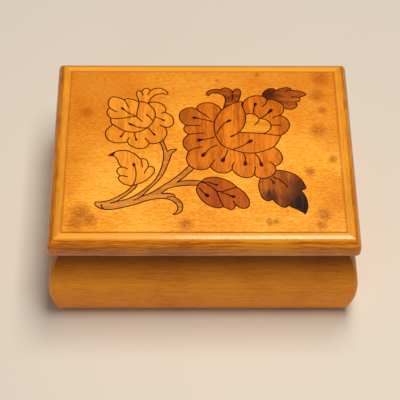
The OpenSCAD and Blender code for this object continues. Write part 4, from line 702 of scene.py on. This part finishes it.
def brake_felt():
    low, high = (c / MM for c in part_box("brake_pad"))
    centre = ((low.x + high.x) / 2, (low.y + high.y) / 2)
    felt_disc("brake_felt", centre, (high.x - low.x) / 2, low.z, high.z, "plunger", "brake_pad")


velvet_tray()
velvet_lid_pad()
felt_feet()
brake_felt()


# ---------------------------------------------------------------- plunger spring
def plunger_coil(turns=5, wire_r=0.22, sides=10, steps=28):
    """The plunger's spring as round wire."""
    low, high = (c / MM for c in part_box("plunger_spring"))
    middle = (low + high) / 2
    mean_r = (high.x - low.x) / 2 - wire_r
    rise = high.z - low.z - 2 * wire_r
    count = turns * steps
    rings = []
    for i in range(count + 1):
        t = 2 * math.pi * i / steps
        ring = []
        for j in range(sides):
            a = 2 * math.pi * j / sides
            r = mean_r + wire_r * math.cos(a)
            z = low.z + wire_r + rise * i / count + wire_r * math.sin(a)
            ring.append((middle.x + r * math.cos(t), middle.y + r * math.sin(t), z))
        rings.append(ring)
    coil = lofted("plunger_coil", rings, MATS[slot_of["plunger_spring"]])
    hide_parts("plunger_spring")
    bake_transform(coil)


plunger_coil()


# ---------------------------------------------------------------- stage, light, camera
def stage_and_light():
    """A pale floor that curves up behind the box, a soft light overhead and a weak one in front."""
    half_w, sweep_r, back, top = 3.0, 0.6, 1.4, 2.5
    section = [(-half_w, 0.0), (back - sweep_r, 0.0)]
    for a in range(6, 91, 6):
        t = math.radians(a)
        section.append((back - sweep_r + sweep_r * math.sin(t), sweep_r - sweep_r * math.cos(t)))
    section.append((back, top))
    bm = bmesh.new()
    rows = [[bm.verts.new((x, y, z)) for y, z in section] for x in (-half_w, half_w)]
    for i in range(len(section) - 1):
        bm.faces.new((rows[0][i], rows[1][i], rows[1][i + 1], rows[0][i + 1]))
    k = Nodes("paper_sweep")
    cloud = k.noise(k.mapping(scale=(3, 3, 3)), 1.0, 3)
    k.finish(k.mix(k.span(cloud, 0.3, 0.7), (0.73, 0.675, 0.61), (0.76, 0.705, 0.64)), 0.85)
    floor = new_object("studio_floor", bm, k.material, smooth=True)

    world = bpy.data.worlds.new("studio")
    SCENE.world = world
    world.use_nodes = True
    world.node_tree.nodes["Background"].inputs["Color"].default_value = (1, 0.98, 0.95, 1)
    world.node_tree.nodes["Background"].inputs["Strength"].default_value = 0.16

    def area(name, place, target, size, power, color=(1, 1, 1)):
        data = bpy.data.lights.new(name, "AREA")
        data.shape = "RECTANGLE"
        data.size, data.size_y = size
        data.energy = power
        data.color = color
        lamp = bpy.data.objects.new(name, data)
        lamp.location = place
        lamp.rotation_euler = (Vector(target) - Vector(place)).to_track_quat("-Z", "Y").to_euler()
        SCENE.collection.objects.link(lamp)

    area("overhead_softbox", (0.10, 0.0, 0.80), (0, 0, 0.06), (0.5, 0.22), 5.9, (1, 0.94, 0.83))
    area("front_fill", (-0.5, -1.1, 0.6), (0, 0, 0.03), (0.5, 0.4), 1.5, (1, 0.92, 0.80))


stage_and_light()


def camera():
    data = bpy.data.cameras.new("camera")
    data.sensor_width = 36.0
    data.lens = 110.25
    cam = bpy.data.objects.new("camera", data)
    elevation, yaw, roll = (math.radians(a) for a in (56.45, -1.47, 1.25))
    distance = 0.5512
    target = Vector((-0.00184, -0.02868, 0.0635))
    back = Vector((math.sin(yaw) * math.cos(elevation), -math.cos(yaw) * math.cos(elevation), math.sin(elevation)))
    level_right = (-back).cross(Vector((0, 0, 1))).normalized()
    level_up = level_right.cross(-back)
    right = level_right * math.cos(roll) + level_up * math.sin(roll)
    up = -level_right * math.sin(roll) + level_up * math.cos(roll)
    place_in_world = Matrix((right, up, back)).transposed().to_4x4()
    place_in_world.translation = target + back * distance
    cam.matrix_world = place_in_world
    SCENE.collection.objects.link(cam)
    SCENE.camera = cam
    SCENE.view_settings.view_transform = "Standard"


camera()
